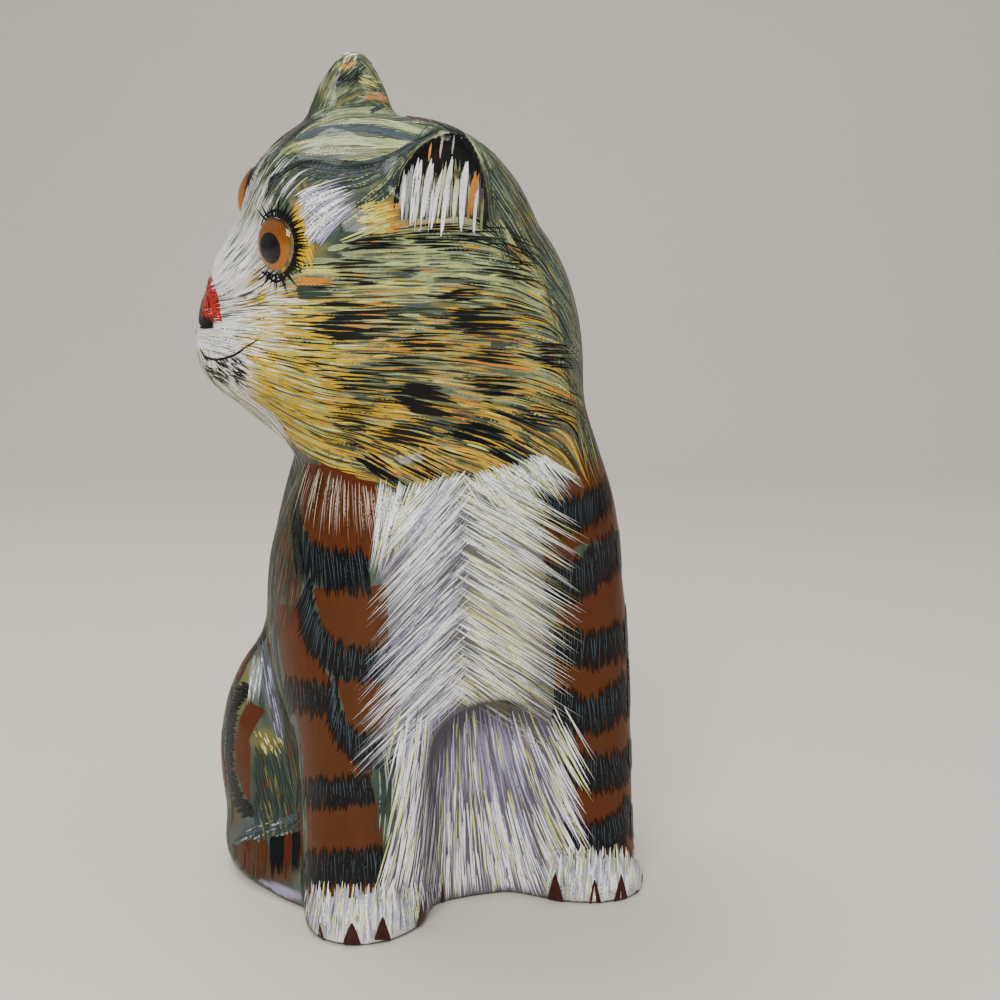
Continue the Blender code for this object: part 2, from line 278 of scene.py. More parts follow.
class Brush:
    """Strokes of paint, each a thin ribbon that lies on the carving."""

    def __init__(self, surface, rng, lift, thickness=THICKNESS):
        self.surface = surface
        self.rng = rng
        self.thickness = thickness
        self.mesh = bmesh.new()
        self.paint = self.mesh.verts.layers.float_color.new("paint")
        self.lift = lift

    def move(self, view, afresh=True):
        """Paints from another viewpoint, afresh on the wood or over what is laid already."""
        self.view = view
        if afresh:
            self.count = 0

    def lay(self, path, width, colour, pointed=1.0, blunt=0.25):
        """A ribbon through surface points. It rises from a blunt start and runs out to a point."""
        last = len(path) - 1
        if last < 1:
            return
        lift = self.lift + self.count * self.thickness
        self.count += 1
        before = None
        paint = (*colour, 1)
        for index, (point, normal, _) in enumerate(path):
            ahead = path[min(index + 1, last)][0] - path[max(index - 1, 0)][0]
            side = ahead.cross(normal).normalized()
            t = index / last
            share = min(1.0, blunt + t * 4) * max(1 - t ** 2, 0.04) ** pointed
            half = side * (width * share / 2)
            left = self.mesh.verts.new(point + normal * lift + half)
            right = self.mesh.verts.new(point + normal * lift - half)
            left[self.paint] = right[self.paint] = paint
            if before:
                self.mesh.faces.new((before[0], left, right, before[1]))
            before = (left, right)

    def stroke(self, x, y, heading, length, width, colour, bend=0.0, flow=None, step=4.5, **shape):
        """A stroke from a point of a picture, along a heading (degrees clockwise from right) or a flow."""
        path = []
        count = max(2, round(length / step))
        step = length / count
        for index in range(count + 1):
            spot = self.surface.seen(self.view, x, y)
            if not spot or path and (spot[0] - path[-1][0]).length > 4 * step * spot[2] / (FOCAL * PICTURE):
                break
            if not self.view.paints(spot[0], spot[1]):
                break
            path.append(spot)
            angle = math.radians(flow(x, y) if flow else heading + bend * (index + 0.5) / count)
            x += step * math.cos(angle)
            y += step * math.sin(angle)
        if len(path) > 1:
            self.lay(path, width * path[0][2] / (FOCAL * PICTURE), colour, **shape)

    def dab(self, x, y, heading, lengths, widths, paints, **shape):
        """A stroke with its length and width from two ranges, and one of several paints by weight."""
        length, width = self.rng.uniform(*lengths), self.rng.uniform(*widths)
        self.stroke(x, y, heading, length, width, jitter(pick(self.rng, paints), self.rng), **shape)

    def cover(self, outline, count, lengths, widths, paints, flow):
        """Strokes scattered over an area, which follow a flow."""
        rng = self.rng
        for x, y in scatter(rng, outline, count):
            paint = paints(x, y, rng) if callable(paints) else pick(rng, paints)
            self.stroke(x, y, 0, rng.uniform(*lengths), rng.uniform(*widths), jitter(paint, rng), flow=flow)

    def sweep(self, line, spread, count, lengths, widths, paints):
        """Long strokes that run along a line, spread to both sides of it."""
        rng = self.rng
        places = curve(line, 2.0)
        flow = flow_from(places[::5], 6)
        for _ in range(count):
            x, y, heading = rng.choice(places)
            away = rng.uniform(-spread, spread)
            across = math.radians(heading + 90)
            self.stroke(x + away * math.cos(across), y + away * math.sin(across), 0, rng.uniform(*lengths),
                        rng.uniform(*widths), jitter(pick(rng, paints), rng), flow=flow)

    def comb(self, line, height, leans, paint="black", spacing=1.1, width=3.6, hairs=True):
        """A band of short strokes side by side along a line, which end in points on both sides of it."""
        rng = self.rng
        places = curve(line, spacing)
        low, high = height if isinstance(height, tuple) else (height, height)
        for index, (x, y, _) in enumerate(places):
            share = index / len(places)
            lean = leans[0] + (leans[1] - leans[0]) * share
            height = low + (high - low) * min(share * 3, 1)
            for way in (0, 180):
                length = height / 2 * rng.uniform(0.75, 1.2)
                self.stroke(x + rng.uniform(-1, 1), y + rng.uniform(-2, 2), lean + way + rng.uniform(-6, 6),
                            length, width * rng.uniform(0.7, 1.1), jitter(PAINTS[paint], rng, 0.3),
                            bend=rng.uniform(-6, 10), step=6, pointed=0.7, blunt=0.9)
        for index, (x, y, _) in enumerate(places[::3] if hairs else ()):
            lean = leans[0] + (leans[1] - leans[0]) * index * 3 / len(places)
            length = height * rng.uniform(0.5, 1.0)
            turn = math.radians(lean)
            self.stroke(x - math.cos(turn) * length / 2, y - math.sin(turn) * length / 2,
                        lean + rng.uniform(-6, 6), length, rng.uniform(0.5, 0.9),
                        jitter(pick(rng, {"steel": 5, "slate": 1}), rng), bend=rng.uniform(-6, 10))

    def finish(self, name, material):
        piece = new_piece(name, self.mesh, material)
        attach(piece, "root")
        return piece


# Eyes

EYE_OUTWARD = 22
EYE_UPWARD = 8
EYE_RADIUS = 4.95 * MM
EYE_DOME = 3.0 * MM
EYE_RIM = 1.6 * MM
EYE_PROUD = 1.4 * MM
EYE_GLASS = 0.1 * MM
EYE_SHIFT = (0.25 * MM, -0.4 * MM)

# The plug that fills a socket flush: radius and height from the axis at the back, in millimetres.
SOCKET_PLUG = ((0, -4.5), (5.2, -4.5), (5.2, -0.6), (3, 0.1), (0, 0.2))


def eye_frame(node, side):
    """An eye's frame from its solid: the origin where its axis meets the face, Z looks outwards."""
    outward, upward = math.radians(side * EYE_OUTWARD), math.radians(EYE_UPWARD)
    gaze = HEAD.to_3x3() @ Vector((math.cos(outward) * math.cos(upward),
                                   math.sin(outward) * math.cos(upward), math.sin(upward)))
    places = [v.co.copy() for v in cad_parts[node].data.vertices]
    depths = [p.dot(gaze) for p in places]
    lowest = min(depths)
    back = [p for p, depth in zip(places, depths) if depth < lowest + 0.1 * MM]
    low = Vector([min(p[i] for p in back) for i in range(3)])
    high = Vector([max(p[i] for p in back) for i in range(3)])
    middle = (low + high) / 2 + gaze * (EYE_DOME + EYE_RIM - EYE_PROUD)
    seat = Matrix.Translation(middle) @ gaze.to_track_quat('Z', 'Y').to_matrix().to_4x4()
    return seat @ Matrix.Translation((side * EYE_SHIFT[0], EYE_SHIFT[1], 0))


def spun(profile, place, steps=64):
    """A closed solid spun from a profile of radius and height that starts and ends on the axis."""
    mesh = bmesh.new()
    verts = [mesh.verts.new((radius, 0, height)) for radius, height in profile]
    edges = [mesh.edges.new(pair) for pair in zip(verts, verts[1:])]
    bmesh.ops.spin(mesh, geom=verts + edges, cent=(0, 0, 0), axis=(0, 0, 1), angle=2 * math.pi, steps=steps,
                   use_merge=True)
    bmesh.ops.remove_doubles(mesh, verts=mesh.verts, dist=1e-6)
    bmesh.ops.recalc_face_normals(mesh, faces=mesh.faces)
    bmesh.ops.transform(mesh, matrix=place, verts=mesh.verts)
    return mesh


def dome_profile(radius, rim_low, rim_high, dome, steps=20):
    """Radius and height from the axis at the back, round the rim and over the dome."""
    profile = [(0, rim_low), (radius, rim_low)]
    for step in range(steps + 1):
        angle = math.pi / 2 * step / steps
        profile.append((radius * math.cos(angle), rim_high + dome * math.sin(angle)))
    return profile


# The carving

def ear_distance(point):
    """How far a point is from the middle of the nearer ear."""
    return min((point - HEAD @ ear).length for ear in EARS)


def carving(eyes):
    """The sanded body: a copy of the solid, its sockets filled flush, worked fine and smoothed."""
    mesh = bmesh.new()
    mesh.from_mesh(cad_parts["cat_body"].data)
    bmesh.ops.remove_doubles(mesh, verts=mesh.verts, dist=1e-6)
    for place in eyes:
        plug = spun([(radius * MM, height * MM) for radius, height in SOCKET_PLUG], place)
        extra = bpy.data.meshes.new("plug")
        plug.to_mesh(extra)
        plug.free()
        mesh.from_mesh(extra)
    obj = new_piece("rough", mesh, bpy.data.materials.new("rough"))
    fuse = obj.modifiers.new("fuse", 'REMESH')
    fuse.mode = 'VOXEL'
    fuse.voxel_size = GRAIN
    sand = obj.modifiers.new("sand", 'SMOOTH')
    sand.factor = 0.5
    sand.iterations = EAR_SANDING
    depsgraph = bpy.context.evaluated_depsgraph_get()
    data = bpy.data.meshes.new_from_object(obj.evaluated_get(depsgraph))
    result = bmesh.new()
    result.from_mesh(data)
    plain = [vert for vert in result.verts if ear_distance(vert.co) > EAR_REACH]
    for _ in range(SANDING - EAR_SANDING):
        bmesh.ops.smooth_vert(result, verts=plain, factor=0.5, use_axis_x=True, use_axis_y=True,
                              use_axis_z=True)
    for vert in result.verts:
        vert.co.z = max(vert.co.z, 0.0)
    bpy.data.objects.remove(obj)
    return result


def stage_floor(material):
    """A plain pale floor that sweeps up into a wall behind the figure."""
    mesh = bmesh.new()
    width, depth, height, radius, steps = 3.0, 1.2, 1.6, 0.5, 24
    profile = [(-2.5, 0.0)]
    for step in range(steps + 1):
        angle = math.pi / 2 * step / steps
        profile.append((depth - radius + radius * math.sin(angle), radius - radius * math.cos(angle)))
    profile.append((depth, height))
    along = Matrix.Rotation(math.radians(CAMERA_ROUND), 4, 'Z')
    verts = [mesh.verts.new(along @ Vector((-width, y, z))) for y, z in profile]
    edges = [mesh.edges.new(pair) for pair in zip(verts, verts[1:])]
    made = bmesh.ops.extrude_edge_only(mesh, edges=edges)["geom"]
    moved = [item for item in made if isinstance(item, bmesh.types.BMVert)]
    bmesh.ops.translate(mesh, verts=moved, vec=along @ Vector((2 * width, 0, 0)))
    bmesh.ops.recalc_face_normals(mesh, faces=mesh.faces)
    floor = new_piece("floor", mesh, material)
    return floor


def area_light(name, place, target, size, power, colour=(1, 1, 1)):
    """A soft square lamp that points at a target."""
    data = bpy.data.lights.new(name, 'AREA')
    data.shape = 'SQUARE'
    data.size = size
    data.energy = power
    data.color = colour
    lamp = bpy.data.objects.new(name, data)
    lamp.location = place
    lamp.rotation_euler = (Vector(target) - Vector(place)).to_track_quat('-Z', 'Y').to_euler()
    bpy.context.scene.collection.objects.link(lamp)


def light_scene():
    """Soft studio light."""
    world = bpy.data.worlds.new("studio")
    bpy.context.scene.world = world
    world.use_nodes = True
    background = world.node_tree.nodes["Background"]
    background.inputs["Color"].default_value = (0.95, 0.97, 1.0, 1)
    background.inputs["Strength"].default_value = 0.5
    aim = (0, 0, 0.08)
    area_light("key", (-0.5, -0.8, 0.7), aim, 0.45, 11.5, (1.0, 0.98, 0.94))
    area_light("fill", (0.8, -0.5, 0.45), aim, 0.8, 0.9, (0.95, 0.97, 1.0))
    area_light("top", (-0.1, 0.3, 0.9), aim, 0.5, 5.0)


def plain_floor():
    shader = Shader("pale_floor", roughness=0.6)
    tone = shader.noise(3.0, 3.0)
    return shader.finish(shader.mix(tone, srgb(216, 208, 196), srgb(222, 215, 204)))


# Colours of paint

PAINTS = {
    "grey_green": srgb(80, 90, 76), "deep_green": srgb(44, 56, 48), "teal": srgb(48, 62, 56),
    "slate": srgb(70, 80, 84), "pale_green": srgb(170, 180, 122), "sage": srgb(132, 144, 108),
    "mustard": srgb(196, 156, 40), "yellow": srgb(216, 176, 16), "orange": srgb(206, 132, 50),
    "rust": srgb(76, 29, 6), "ochre": srgb(76, 42, 8), "dun": srgb(96, 80, 58), "olive": srgb(112, 108, 60),
    "black": srgb(8, 9, 11), "white": srgb(250, 250, 252), "cream": srgb(222, 220, 186),
    "lilac": srgb(164, 158, 192), "mauve": srgb(104, 98, 110), "lemon": srgb(204, 204, 112),
    "red": srgb(170, 40, 28), "claw": srgb(58, 22, 20), "steel": srgb(66, 82, 94),
    "pink": srgb(196, 160, 148), "brown": srgb(74, 48, 28), "silver": srgb(150, 160, 152),
    "ash": srgb(96, 96, 104),
}

# How the strokes run over the head: places in the picture and headings in degrees clockwise from right.
HEAD_FLOW = (
    (315, 111, -38), (347, 104, -6), (401, 111, 10), (436, 124, 20), (320, 124, -26), (365, 120, -4),
    (410, 129, 4), (294, 144, -32), (329, 140, -12), (365, 147, -6), (401, 151, -2), (276, 161, -48),
    (311, 165, -8), (347, 169, -2), (383, 165, -12), (400, 160, -38), (311, 192, -28), (329, 201, -36),
    (347, 197, -40), (365, 192, -40), (392, 174, -44), (481, 147, 42), (499, 183, 58), (520, 230, 62),
    (263, 172, -64), (251, 192, -70), (272, 192, -66), (285, 183, -50), (249, 212, -66), (236, 236, -56),
    (228, 260, -50), (252, 260, -50), (236, 283, -42), (260, 283, -36), (228, 307, -6), (252, 307, -4),
    (276, 312, 4), (244, 323, 0), (276, 331, 5), (324, 275, 1), (324, 307, 0), (387, 260, 0),
    (419, 236, -3), (428, 246, -2), (492, 270, 5), (531, 286, 26), (492, 318, 3), (523, 326, 9),
    (428, 342, 3), (550, 350, 8), (500, 381, 5), (552, 405, 18), (460, 429, 9), (500, 445, 25),
    (523, 453, 31), (420, 461, 30), (396, 421, 4), (571, 326, 74), (584, 373, 79), (557, 270, 66),
    (595, 437, 76), (238, 396, 38), (262, 412, 36), (286, 428, 34), (302, 436, 30), (318, 451, 28),
    (286, 380, 20), (270, 364, 12), (302, 404, 15), (334, 436, 12), (366, 451, 22), (397, 467, 28),
    (350, 467, 10), (334, 412, 4), (238, 364, 20), (222, 348, 14), (381, 372, 2), (350, 340, -1),
)
FAR_EAR_FLOW = (
    (317, 100, -70), (326, 76, -66), (338, 58, -40), (352, 54, 5), (366, 62, 50), (377, 80, 62),
    (388, 98, 44), (345, 80, -62), (350, 98, -30), (362, 78, 48), (340, 70, -58),
)

# The lower edge of the head's paint, and outlines of patches, as the painter sees them.
JAW = (
    (150, 300), (280, 440), (320, 462), (360, 478), (400, 485), (440, 478), (500, 468), (540, 455),
    (575, 440), (600, 428), (680, 400),
)
NOSE = [
    (199, 268), (210, 270), (214, 284), (219, 300), (222, 321), (214, 326), (170, 326), (170, 262),
]
NEAR_EAR = [
    (398, 187), (403, 170), (415, 152), (428, 141), (443, 134), (457, 131), (467, 137), (475, 152),
    (480, 170), (485, 190), (484, 207), (476, 196), (440, 190), (404, 200),
]
FAR_EAR = [
    (309, 112), (318, 88), (325, 72), (334, 57), (347, 51), (361, 54), (375, 74), (392, 102), (350, 108),
]
CHEEK = [
    (296, 268), (316, 256), (340, 240), (398, 222), (490, 214), (522, 216), (552, 262), (572, 320),
    (584, 380), (594, 432), (560, 446), (500, 468), (440, 480), (400, 487), (350, 476), (300, 450),
    (262, 420), (236, 396), (236, 330), (262, 302),
]
MUZZLE = [
    (262, 186), (268, 222), (256, 262), (280, 300), (262, 340), (246, 400), (206, 380), (190, 330),
    (200, 276), (216, 236), (240, 190),
]
CHIN = [
    (262, 322), (318, 316), (344, 360), (342, 408), (322, 436), (286, 424), (258, 402), (250, 366),
]
NAPE = [
    (478, 140), (505, 158), (535, 205), (560, 262), (580, 330), (596, 400), (600, 436), (582, 440),
    (570, 380), (556, 320), (530, 250), (500, 216), (488, 190),
]
CROWN = [
    (256, 190), (272, 150), (300, 116), (345, 98), (400, 104), (455, 130), (405, 160), (396, 184),
    (340, 190), (290, 186), (270, 214),
]
FACE_SIDE = [(250, 160), (280, 150), (292, 190), (268, 230), (240, 226)]

RUST_PATCHES = (
    [(304, 462), (374, 474), (378, 545), (366, 566), (318, 560), (302, 522)],
    [(262, 604), (298, 606), (312, 640), (334, 690), (282, 700), (268, 645)],
    [(312, 588), (386, 585), (390, 650), (350, 662), (326, 640)],
    [(336, 680), (402, 672), (400, 738), (352, 740)],
    [(281, 704), (326, 704), (343, 735), (374, 757), (368, 795), (330, 800), (300, 798), (286, 745)],
    [(297, 804), (376, 798), (382, 822), (384, 860), (340, 874), (301, 870)],
    [(308, 884), (384, 880), (386, 890), (350, 898), (309, 896)],
    [(534, 440), (680, 400), (680, 858), (612, 858), (566, 826), (566, 780), (572, 746), (556, 704),
     (553, 664), (560, 640), (556, 604), (545, 566), (541, 540), (548, 500)],
    [(249, 701), (266, 711), (258, 722), (250, 738), (249, 800), (243, 792), (236, 768), (236, 738),
     (241, 715)],
)
GREEN_GAPS = (
    [(572, 548), (600, 540), (606, 550), (584, 562)],
    [(548, 592), (566, 582), (560, 606)],
    [(553, 648), (572, 652), (566, 664)],
    [(556, 716), (572, 722), (574, 742), (560, 748)],
    [(562, 776), (576, 786), (566, 800)],
)


def flow_from(samples, reach=16):
    """A heading anywhere in the picture, blended from the nearest samples."""
    table = np.array(samples, float)
    sine, cosine = np.sin(np.radians(table[:, 2])), np.cos(np.radians(table[:, 2]))

    def flow(x, y):
        weight = 1 / ((table[:, 0] - x) ** 2 + (table[:, 1] - y) ** 2 + reach ** 2) ** 2
        return math.degrees(math.atan2((weight * sine).sum(), (weight * cosine).sum()))
    return flow


def down(x, y):
    """A flow straight down the picture."""
    return 90


head_flow = flow_from(HEAD_FLOW)
far_ear_flow = flow_from(FAR_EAR_FLOW, 6)


def jaw_edge(x):
    """How far down the picture the head's paint ends."""
    return np.interp(x, *zip(*JAW))


def inside(x, y, outline):
    """Whether a point is inside a closed outline."""
    result = False
    for (x0, y0), (x1, y1) in zip(outline, outline[1:] + outline[:1]):
        if (y0 > y) != (y1 > y) and x < (x1 - x0) * (y - y0) / (y1 - y0) + x0:
            result = not result
    return result


def edge_distance(x, y, outline):
    """Distance from an outline, positive inside, for arrays of points."""
    distance = np.full(len(x), 1e9)
    within = np.zeros(len(x), bool)
    for (x0, y0), (x1, y1) in zip(outline, outline[1:] + outline[:1]):
        dx, dy = x1 - x0, y1 - y0
        t = np.clip(((x - x0) * dx + (y - y0) * dy) / (dx * dx + dy * dy), 0, 1)
        distance = np.minimum(distance, np.hypot(x - x0 - t * dx, y - y0 - t * dy))
        if dy:
            within ^= ((y0 > y) != (y1 > y)) & (x < dx * (y - y0) / dy + x0)
    return np.where(within, distance, -distance)


def blob(x, y, middle, half, turn=0.0, soft=0.35):
    """A soft-edged oval: 1 at its middle and 0 outside."""
    c, s = math.cos(math.radians(turn)), math.sin(math.radians(turn))
    dx, dy = x - middle[0], y - middle[1]
    radius = np.hypot((dx * c + dy * s) / half[0], (dy * c - dx * s) / half[1])
    t = np.clip((1 + soft - radius) / (2 * soft), 0, 1)
    return t * t * (3 - 2 * t)


def streak(x, y, heading, seed, long=60.0, high=8.0):
    """Noise drawn out along a heading, from about -1 to 1."""
    c, s = math.cos(math.radians(heading)), math.sin(math.radians(heading))
    return noise.noise(Vector(((x * c + y * s) / long, (y * c - x * s) / high, seed))) * 1.8


def main():
    light_scene()
    stage_floor(plain_floor())
    eyes = {"left": eye_frame("eye_left", 1), "right": eye_frame("eye_right", -1)}
    skin = new_piece("carving", carving(eyes.values()), painted_wood())
    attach(skin, "root")
    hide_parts("cat_body")
    surface = Surface(skin)
    views = painters_places()
    paint_ground(skin, views)
    strokes = stroke_paint()
    paint_head(surface, views, strokes)
    paint_marks(surface, views, strokes)
    paint_legs(surface, views, strokes)
    paint_bib(surface, views, strokes)
    paint_hidden_sides(surface, views, strokes)
    make_eyes(eyes)


def painters_places():
    """The viewpoints that paint is laid from, each for what the ones before it don't see."""
    midline = mirror_plane(Vector((MIDLINE, 0, 0)), Vector((1, 0, 0)))
    cheeks = mirror_plane(HEAD.translation, HEAD.to_3x3() @ Vector((0, 1, 0)))
    front = Viewpoint(camera_matrix)
    views = {"front": front,
             "far_cheek": Viewpoint(camera_matrix, cheeks, (front,), JAW_HEIGHT),
             "far_flank": Viewpoint(camera_matrix, midline, (front,))}
    seen = (front, views["far_flank"])
    views["right_side"] = Viewpoint(looking((-0.33, 0.01, 0.08), (0, 0.01, 0.08)), None, seen)
    views["left_side"] = Viewpoint(views["right_side"].matrix, midline, seen)
    views["back"] = Viewpoint(looking((0, 0.36, 0.08), (0, 0, 0.08)), None, seen)
    views["right_side"].rivals = views["left_side"].rivals = (views["back"],)
    views["back"].rivals = (views["right_side"], views["left_side"])
    faces = (front, views["far_cheek"])
    views["face"] = Viewpoint(looking((-0.33, -0.01, 0.085), (0, -0.01, 0.1)))
    views["nape"] = Viewpoint(looking((0.33, 0.02, 0.15), (0, 0, 0.105)), None, faces)
    views["nape_back"] = Viewpoint(looking((0.08, 0.34, 0.15), (0, 0, 0.105)), None, faces)
    views["nape"].rivals, views["nape_back"].rivals = (views["nape_back"],), (views["nape"],)
    return views


def looking(place, target):
    """The matrix of a viewpoint that looks from one place at another."""
    place, target = Vector(place), Vector(target)
    return Matrix.Translation(place) @ (target - place).to_track_quat('-Z', 'Y').to_matrix().to_4x4()


# Materials

def painted_wood():
    """Brushed paint under lacquer, over the colours and masks that the skin carries."""
    shader = Shader("painted_wood", roughness=0.6, specular_ior_level=0.05, coat_weight=COAT,
                    coat_roughness=COAT_ROUGHNESS)
    fine = shader.noise(900, 3.0, (1, 1, 0.25))
    ragged = shader.noise(420, 2.0, (1, 1, 0.3)) * 5 - 2.5
    rust = shader.step(shader.attribute("rust") + ragged, -0.8, 0.8)
    broad = shader.step(shader.noise(60, 1.0), 0.35, 0.65)
    rust_colour = shader.mix(fine, shader.mix(broad, srgb(72, 27, 4), srgb(68, 38, 6)), srgb(88, 42, 10))
    colour = shader.mix(rust, shader.attribute("ground", "Color"), rust_colour)
    red = shader.step(shader.attribute("red") + ragged * 0.5, -0.5, 0.5)
    colour = shader.mix(red, colour, shader.mix(fine, PAINTS["red"], srgb(132, 28, 22)))
    return shader.finish(colour, fine, 0.15, 0.1 * MM)


def stroke_paint():
    """Paint laid in strokes, in the colour that each stroke carries."""
    shader = Shader("brush_paint", roughness=0.6, specular_ior_level=0.05, coat_weight=COAT,
                    coat_roughness=COAT_ROUGHNESS)
    fine = shader.noise(1600, 2.0)
    colour = shader.attribute("paint", "Color")
    darker = shader.node("ShaderNodeVectorMath", {"operation": 'SCALE'}, {0: colour, "Scale": 0.86})
    return shader.finish(shader.mix(shader.step(fine, 0.35, 0.65), darker, colour), fine, 0.1, 0.05 * MM)


# The colours under the strokes

def paint_ground(skin, views):
    """The colours under the strokes, one for each vertex of the skin, and the masks of the flat patches."""
    mesh = skin.data
    count = len(mesh.vertices)
    points, normals = np.empty(count * 3), np.empty(count * 3)
    mesh.vertices.foreach_get("co", points)
    mesh.vertices.foreach_get("normal", normals)
    points, normals = points.reshape(-1, 3), normals.reshape(-1, 3)
    straight = views["front"].pixels(points)
    left_of_head = (points - np.array(HEAD.translation)) @ np.array(HEAD.to_3x3() @ Vector((0, 1, 0)))
    ragged = np.array([noise.noise(Vector(place) * 220) for place in points]) * 0.004
    on_head = (straight[:, 1] < jaw_edge(straight[:, 0])) & (points[:, 2] + ragged > 0.079)
    facing = {}
    for name in ("front", "far_flank"):
        away = np.array(views[name].place) - points
        facing[name] = (normals * away).sum(1) / np.linalg.norm(away, axis=1)
    seen = facing["front"] > TURNED_AWAY
    head_pixels = np.where((left_of_head > 0)[:, None], straight, views["far_cheek"].pixels(points))
    left_side = (points[:, 0] > MIDLINE) & ~seen
    body_pixels = np.where(left_side[:, None], views["far_flank"].pixels(points), straight)
    pixels = np.where(on_head[:, None], head_pixels, body_pixels)
    x, y = pixels[:, 0], pixels[:, 1]
    front_half = (seen | (facing["far_flank"] > TURNED_AWAY)) & (points[:, 1] < 0.02)
    colours = np.array([head_ground(*place) if head else body_ground(*place)
                        for place, head in zip(pixels[:, :2], on_head)])
    lay_blobs(colours, x, y, on_head, HEAD_BLOBS)
    bib = edge_distance(x, y, BIB) * 0.12 + 0.5
    lay_over(colours, front_half & ~on_head, "mauve", np.clip(bib, 0, 1) * 0.9)
    lay_blobs(colours, x, y, front_half & ~on_head, BODY_BLOBS)
    rust = np.max([edge_distance(x, y, outline) for outline in RUST_PATCHES], axis=0)
    gaps = np.max([edge_distance(x, y, outline) for outline in GREEN_GAPS], axis=0)
    rust = np.clip(np.minimum(rust, -gaps), -20, 20)
    rust[on_head | ~front_half] = -20
    red = np.clip(edge_distance(x, y, NOSE), -20, 20)
    red[~on_head | (x > 240)] = -20
    add_attribute(mesh, "ground", 'FLOAT_COLOR', np.column_stack((colours, np.ones(count))))
    add_attribute(mesh, "rust", 'FLOAT', rust)
    add_attribute(mesh, "red", 'FLOAT', red)


BIB = [
    (400, 480), (462, 466), (520, 470), (536, 512), (544, 600), (550, 700), (572, 858), (640, 850),
    (660, 960), (280, 960), (300, 897), (388, 892), (398, 800), (418, 740), (396, 700), (384, 640),
    (380, 560), (386, 500),
]

# Soft areas of colour: paint, strength, middle, half sizes, turn and softness of the edge.
HEAD_BLOBS = (
    ("white", 0.75, (230, 262), (24, 58), 32, 0.35), ("white", 0.9, (224, 350), (32, 34), 0, 0.35),
    ("sage", 0.7, (250, 200), (12, 50), 22, 0.5), ("mustard", 0.8, (286, 372), (40, 60), -20, 0.4),
    ("yellow", 0.5, (300, 425), (55, 26), 30, 0.4), ("ash", 0.7, (326, 210), (30, 22), -42, 0.3),
    ("yellow", 1.0, (303, 232), (9, 30), -8, 0.25), ("orange", 0.9, (314, 280), (22, 5), 0, 0.3),
    ("teal", 1.0, (316, 291), (18, 6), 0, 0.2), ("yellow", 0.8, (376, 218), (20, 14), -20, 0.4),
    ("deep_green", 0.9, (330, 170), (60, 11), -4, 0.4), ("deep_green", 0.7, (560, 250), (10, 100), -24, 0.4),
    ("teal", 0.9, (350, 236), (12, 30), 40, 0.4), ("olive", 0.9, (372, 74), (14, 26), -20, 0.4),
    ("deep_green", 0.9, (338, 82), (16, 12), -20, 0.4), ("orange", 0.8, (346, 66), (7, 9), 0, 0.4),
    ("pink", 0.8, (370, 96), (16, 6), 12, 0.4), ("black", 0.9, (328, 66), (6, 14), 28, 0.4),
    ("silver", 0.8, (322, 106), (22, 10), -36, 0.4), ("brown", 0.4, (410, 372), (34, 18), 0, 0.5),
)
BODY_BLOBS = (
    ("dun", 0.7, (276, 540), (14, 60), 6, 0.4), ("deep_green", 0.8, (290, 576), (10, 22), 0, 0.5),
    # The deep green band just under the jaw, round (346, 476), is painted shade beneath the overhang of the
    # jaw.
    ("deep_green", 0.8, (346, 476), (50, 10), 14, 0.4), ("rust", 0.6, (335, 520), (34, 36), 0, 0.4),
    ("teal", 0.7, (384, 785), (12, 30), 0, 0.4),
    ("lilac", 0.7, (480, 760), (34, 30), 0, 0.4), ("white", 0.7, (360, 925), (60, 30), 0, 0.4),
    ("white", 0.6, (600, 880), (44, 32), 0, 0.4), ("lemon", 0.35, (505, 600), (30, 100), 0, 0.5),
    ("brown", 0.9, (220, 760), (14, 90), 0, 0.4), ("ochre", 0.7, (228, 815), (10, 26), -20, 0.4),
    ("olive", 0.8, (238, 690), (14, 36), 18, 0.5), ("slate", 0.8, (256, 640), (8, 20), 20, 0.5),
    ("silver", 0.9, (256, 677), (6, 16), 5, 0.5), ("ash", 0.9, (274, 695), (9, 44), -14, 0.5),
    ("teal", 1.0, (276, 800), (24, 56), -6, 0.5), ("olive", 0.9, (266, 740), (15, 11), 10, 0.5),
    ("brown", 0.8, (266, 782), (7, 8), 0, 0.5), ("slate", 0.9, (262, 832), (30, 18), -14, 0.5),
    ("brown", 0.9, (266, 866), (34, 22), 0, 0.4), ("lilac", 0.8, (270, 889), (34, 6), 14, 0.3),
)


def head_ground(x, y):
    """The ground colour at a place on the head: tabby streaks that follow the strokes."""
    tone = streak(x, y, (head_flow(x, y) if y < 500 else 0) * 0.5, 3.0)
    if y < 170:
        return mixed(("slate", "grey_green", "sage", "pale_green"), tone)
    return mixed(("deep_green", "grey_green", "olive", "dun", "mustard"), tone * 1.1 - 0.3)


def body_ground(x, y):
    """The ground colour at a place on the body."""
    return mixed(("deep_green", "grey_green", "teal", "dun"), streak(x, y, 80, 7.0, 40, 9) * 0.7)


def mixed(names, weight):
    """A paint between several, for a weight from -1 to 1 that runs through them."""
    place = min(max((weight + 1) / 2, 0), 0.999) * (len(names) - 1)
    low = int(place)
    first, second = PAINTS[names[low]], PAINTS[names[low + 1]]
    return [a + (b - a) * (place - low) for a, b in zip(first, second)]


def lay_over(colours, where, paint, weight):
    """Mixes a paint over some of the ground."""
    colours += (np.array(PAINTS[paint]) - colours) * (weight * where)[:, None]


def lay_blobs(colours, x, y, where, blobs):
    """Mixes soft areas of paint over the ground."""
    for paint, strength, middle, half, turn, soft in blobs:
        lay_over(colours, where, paint, strength * blob(x, y, middle, half, turn, soft))


def add_attribute(mesh, name, kind, values):
    """A value for each vertex, for the paint to read."""
    attribute = mesh.attributes.new(name, kind, 'POINT')
    field = "color" if kind == 'FLOAT_COLOR' else "value"
    attribute.data.foreach_set(field, np.asarray(values, np.float32).ravel())


# Ways to lay strokes

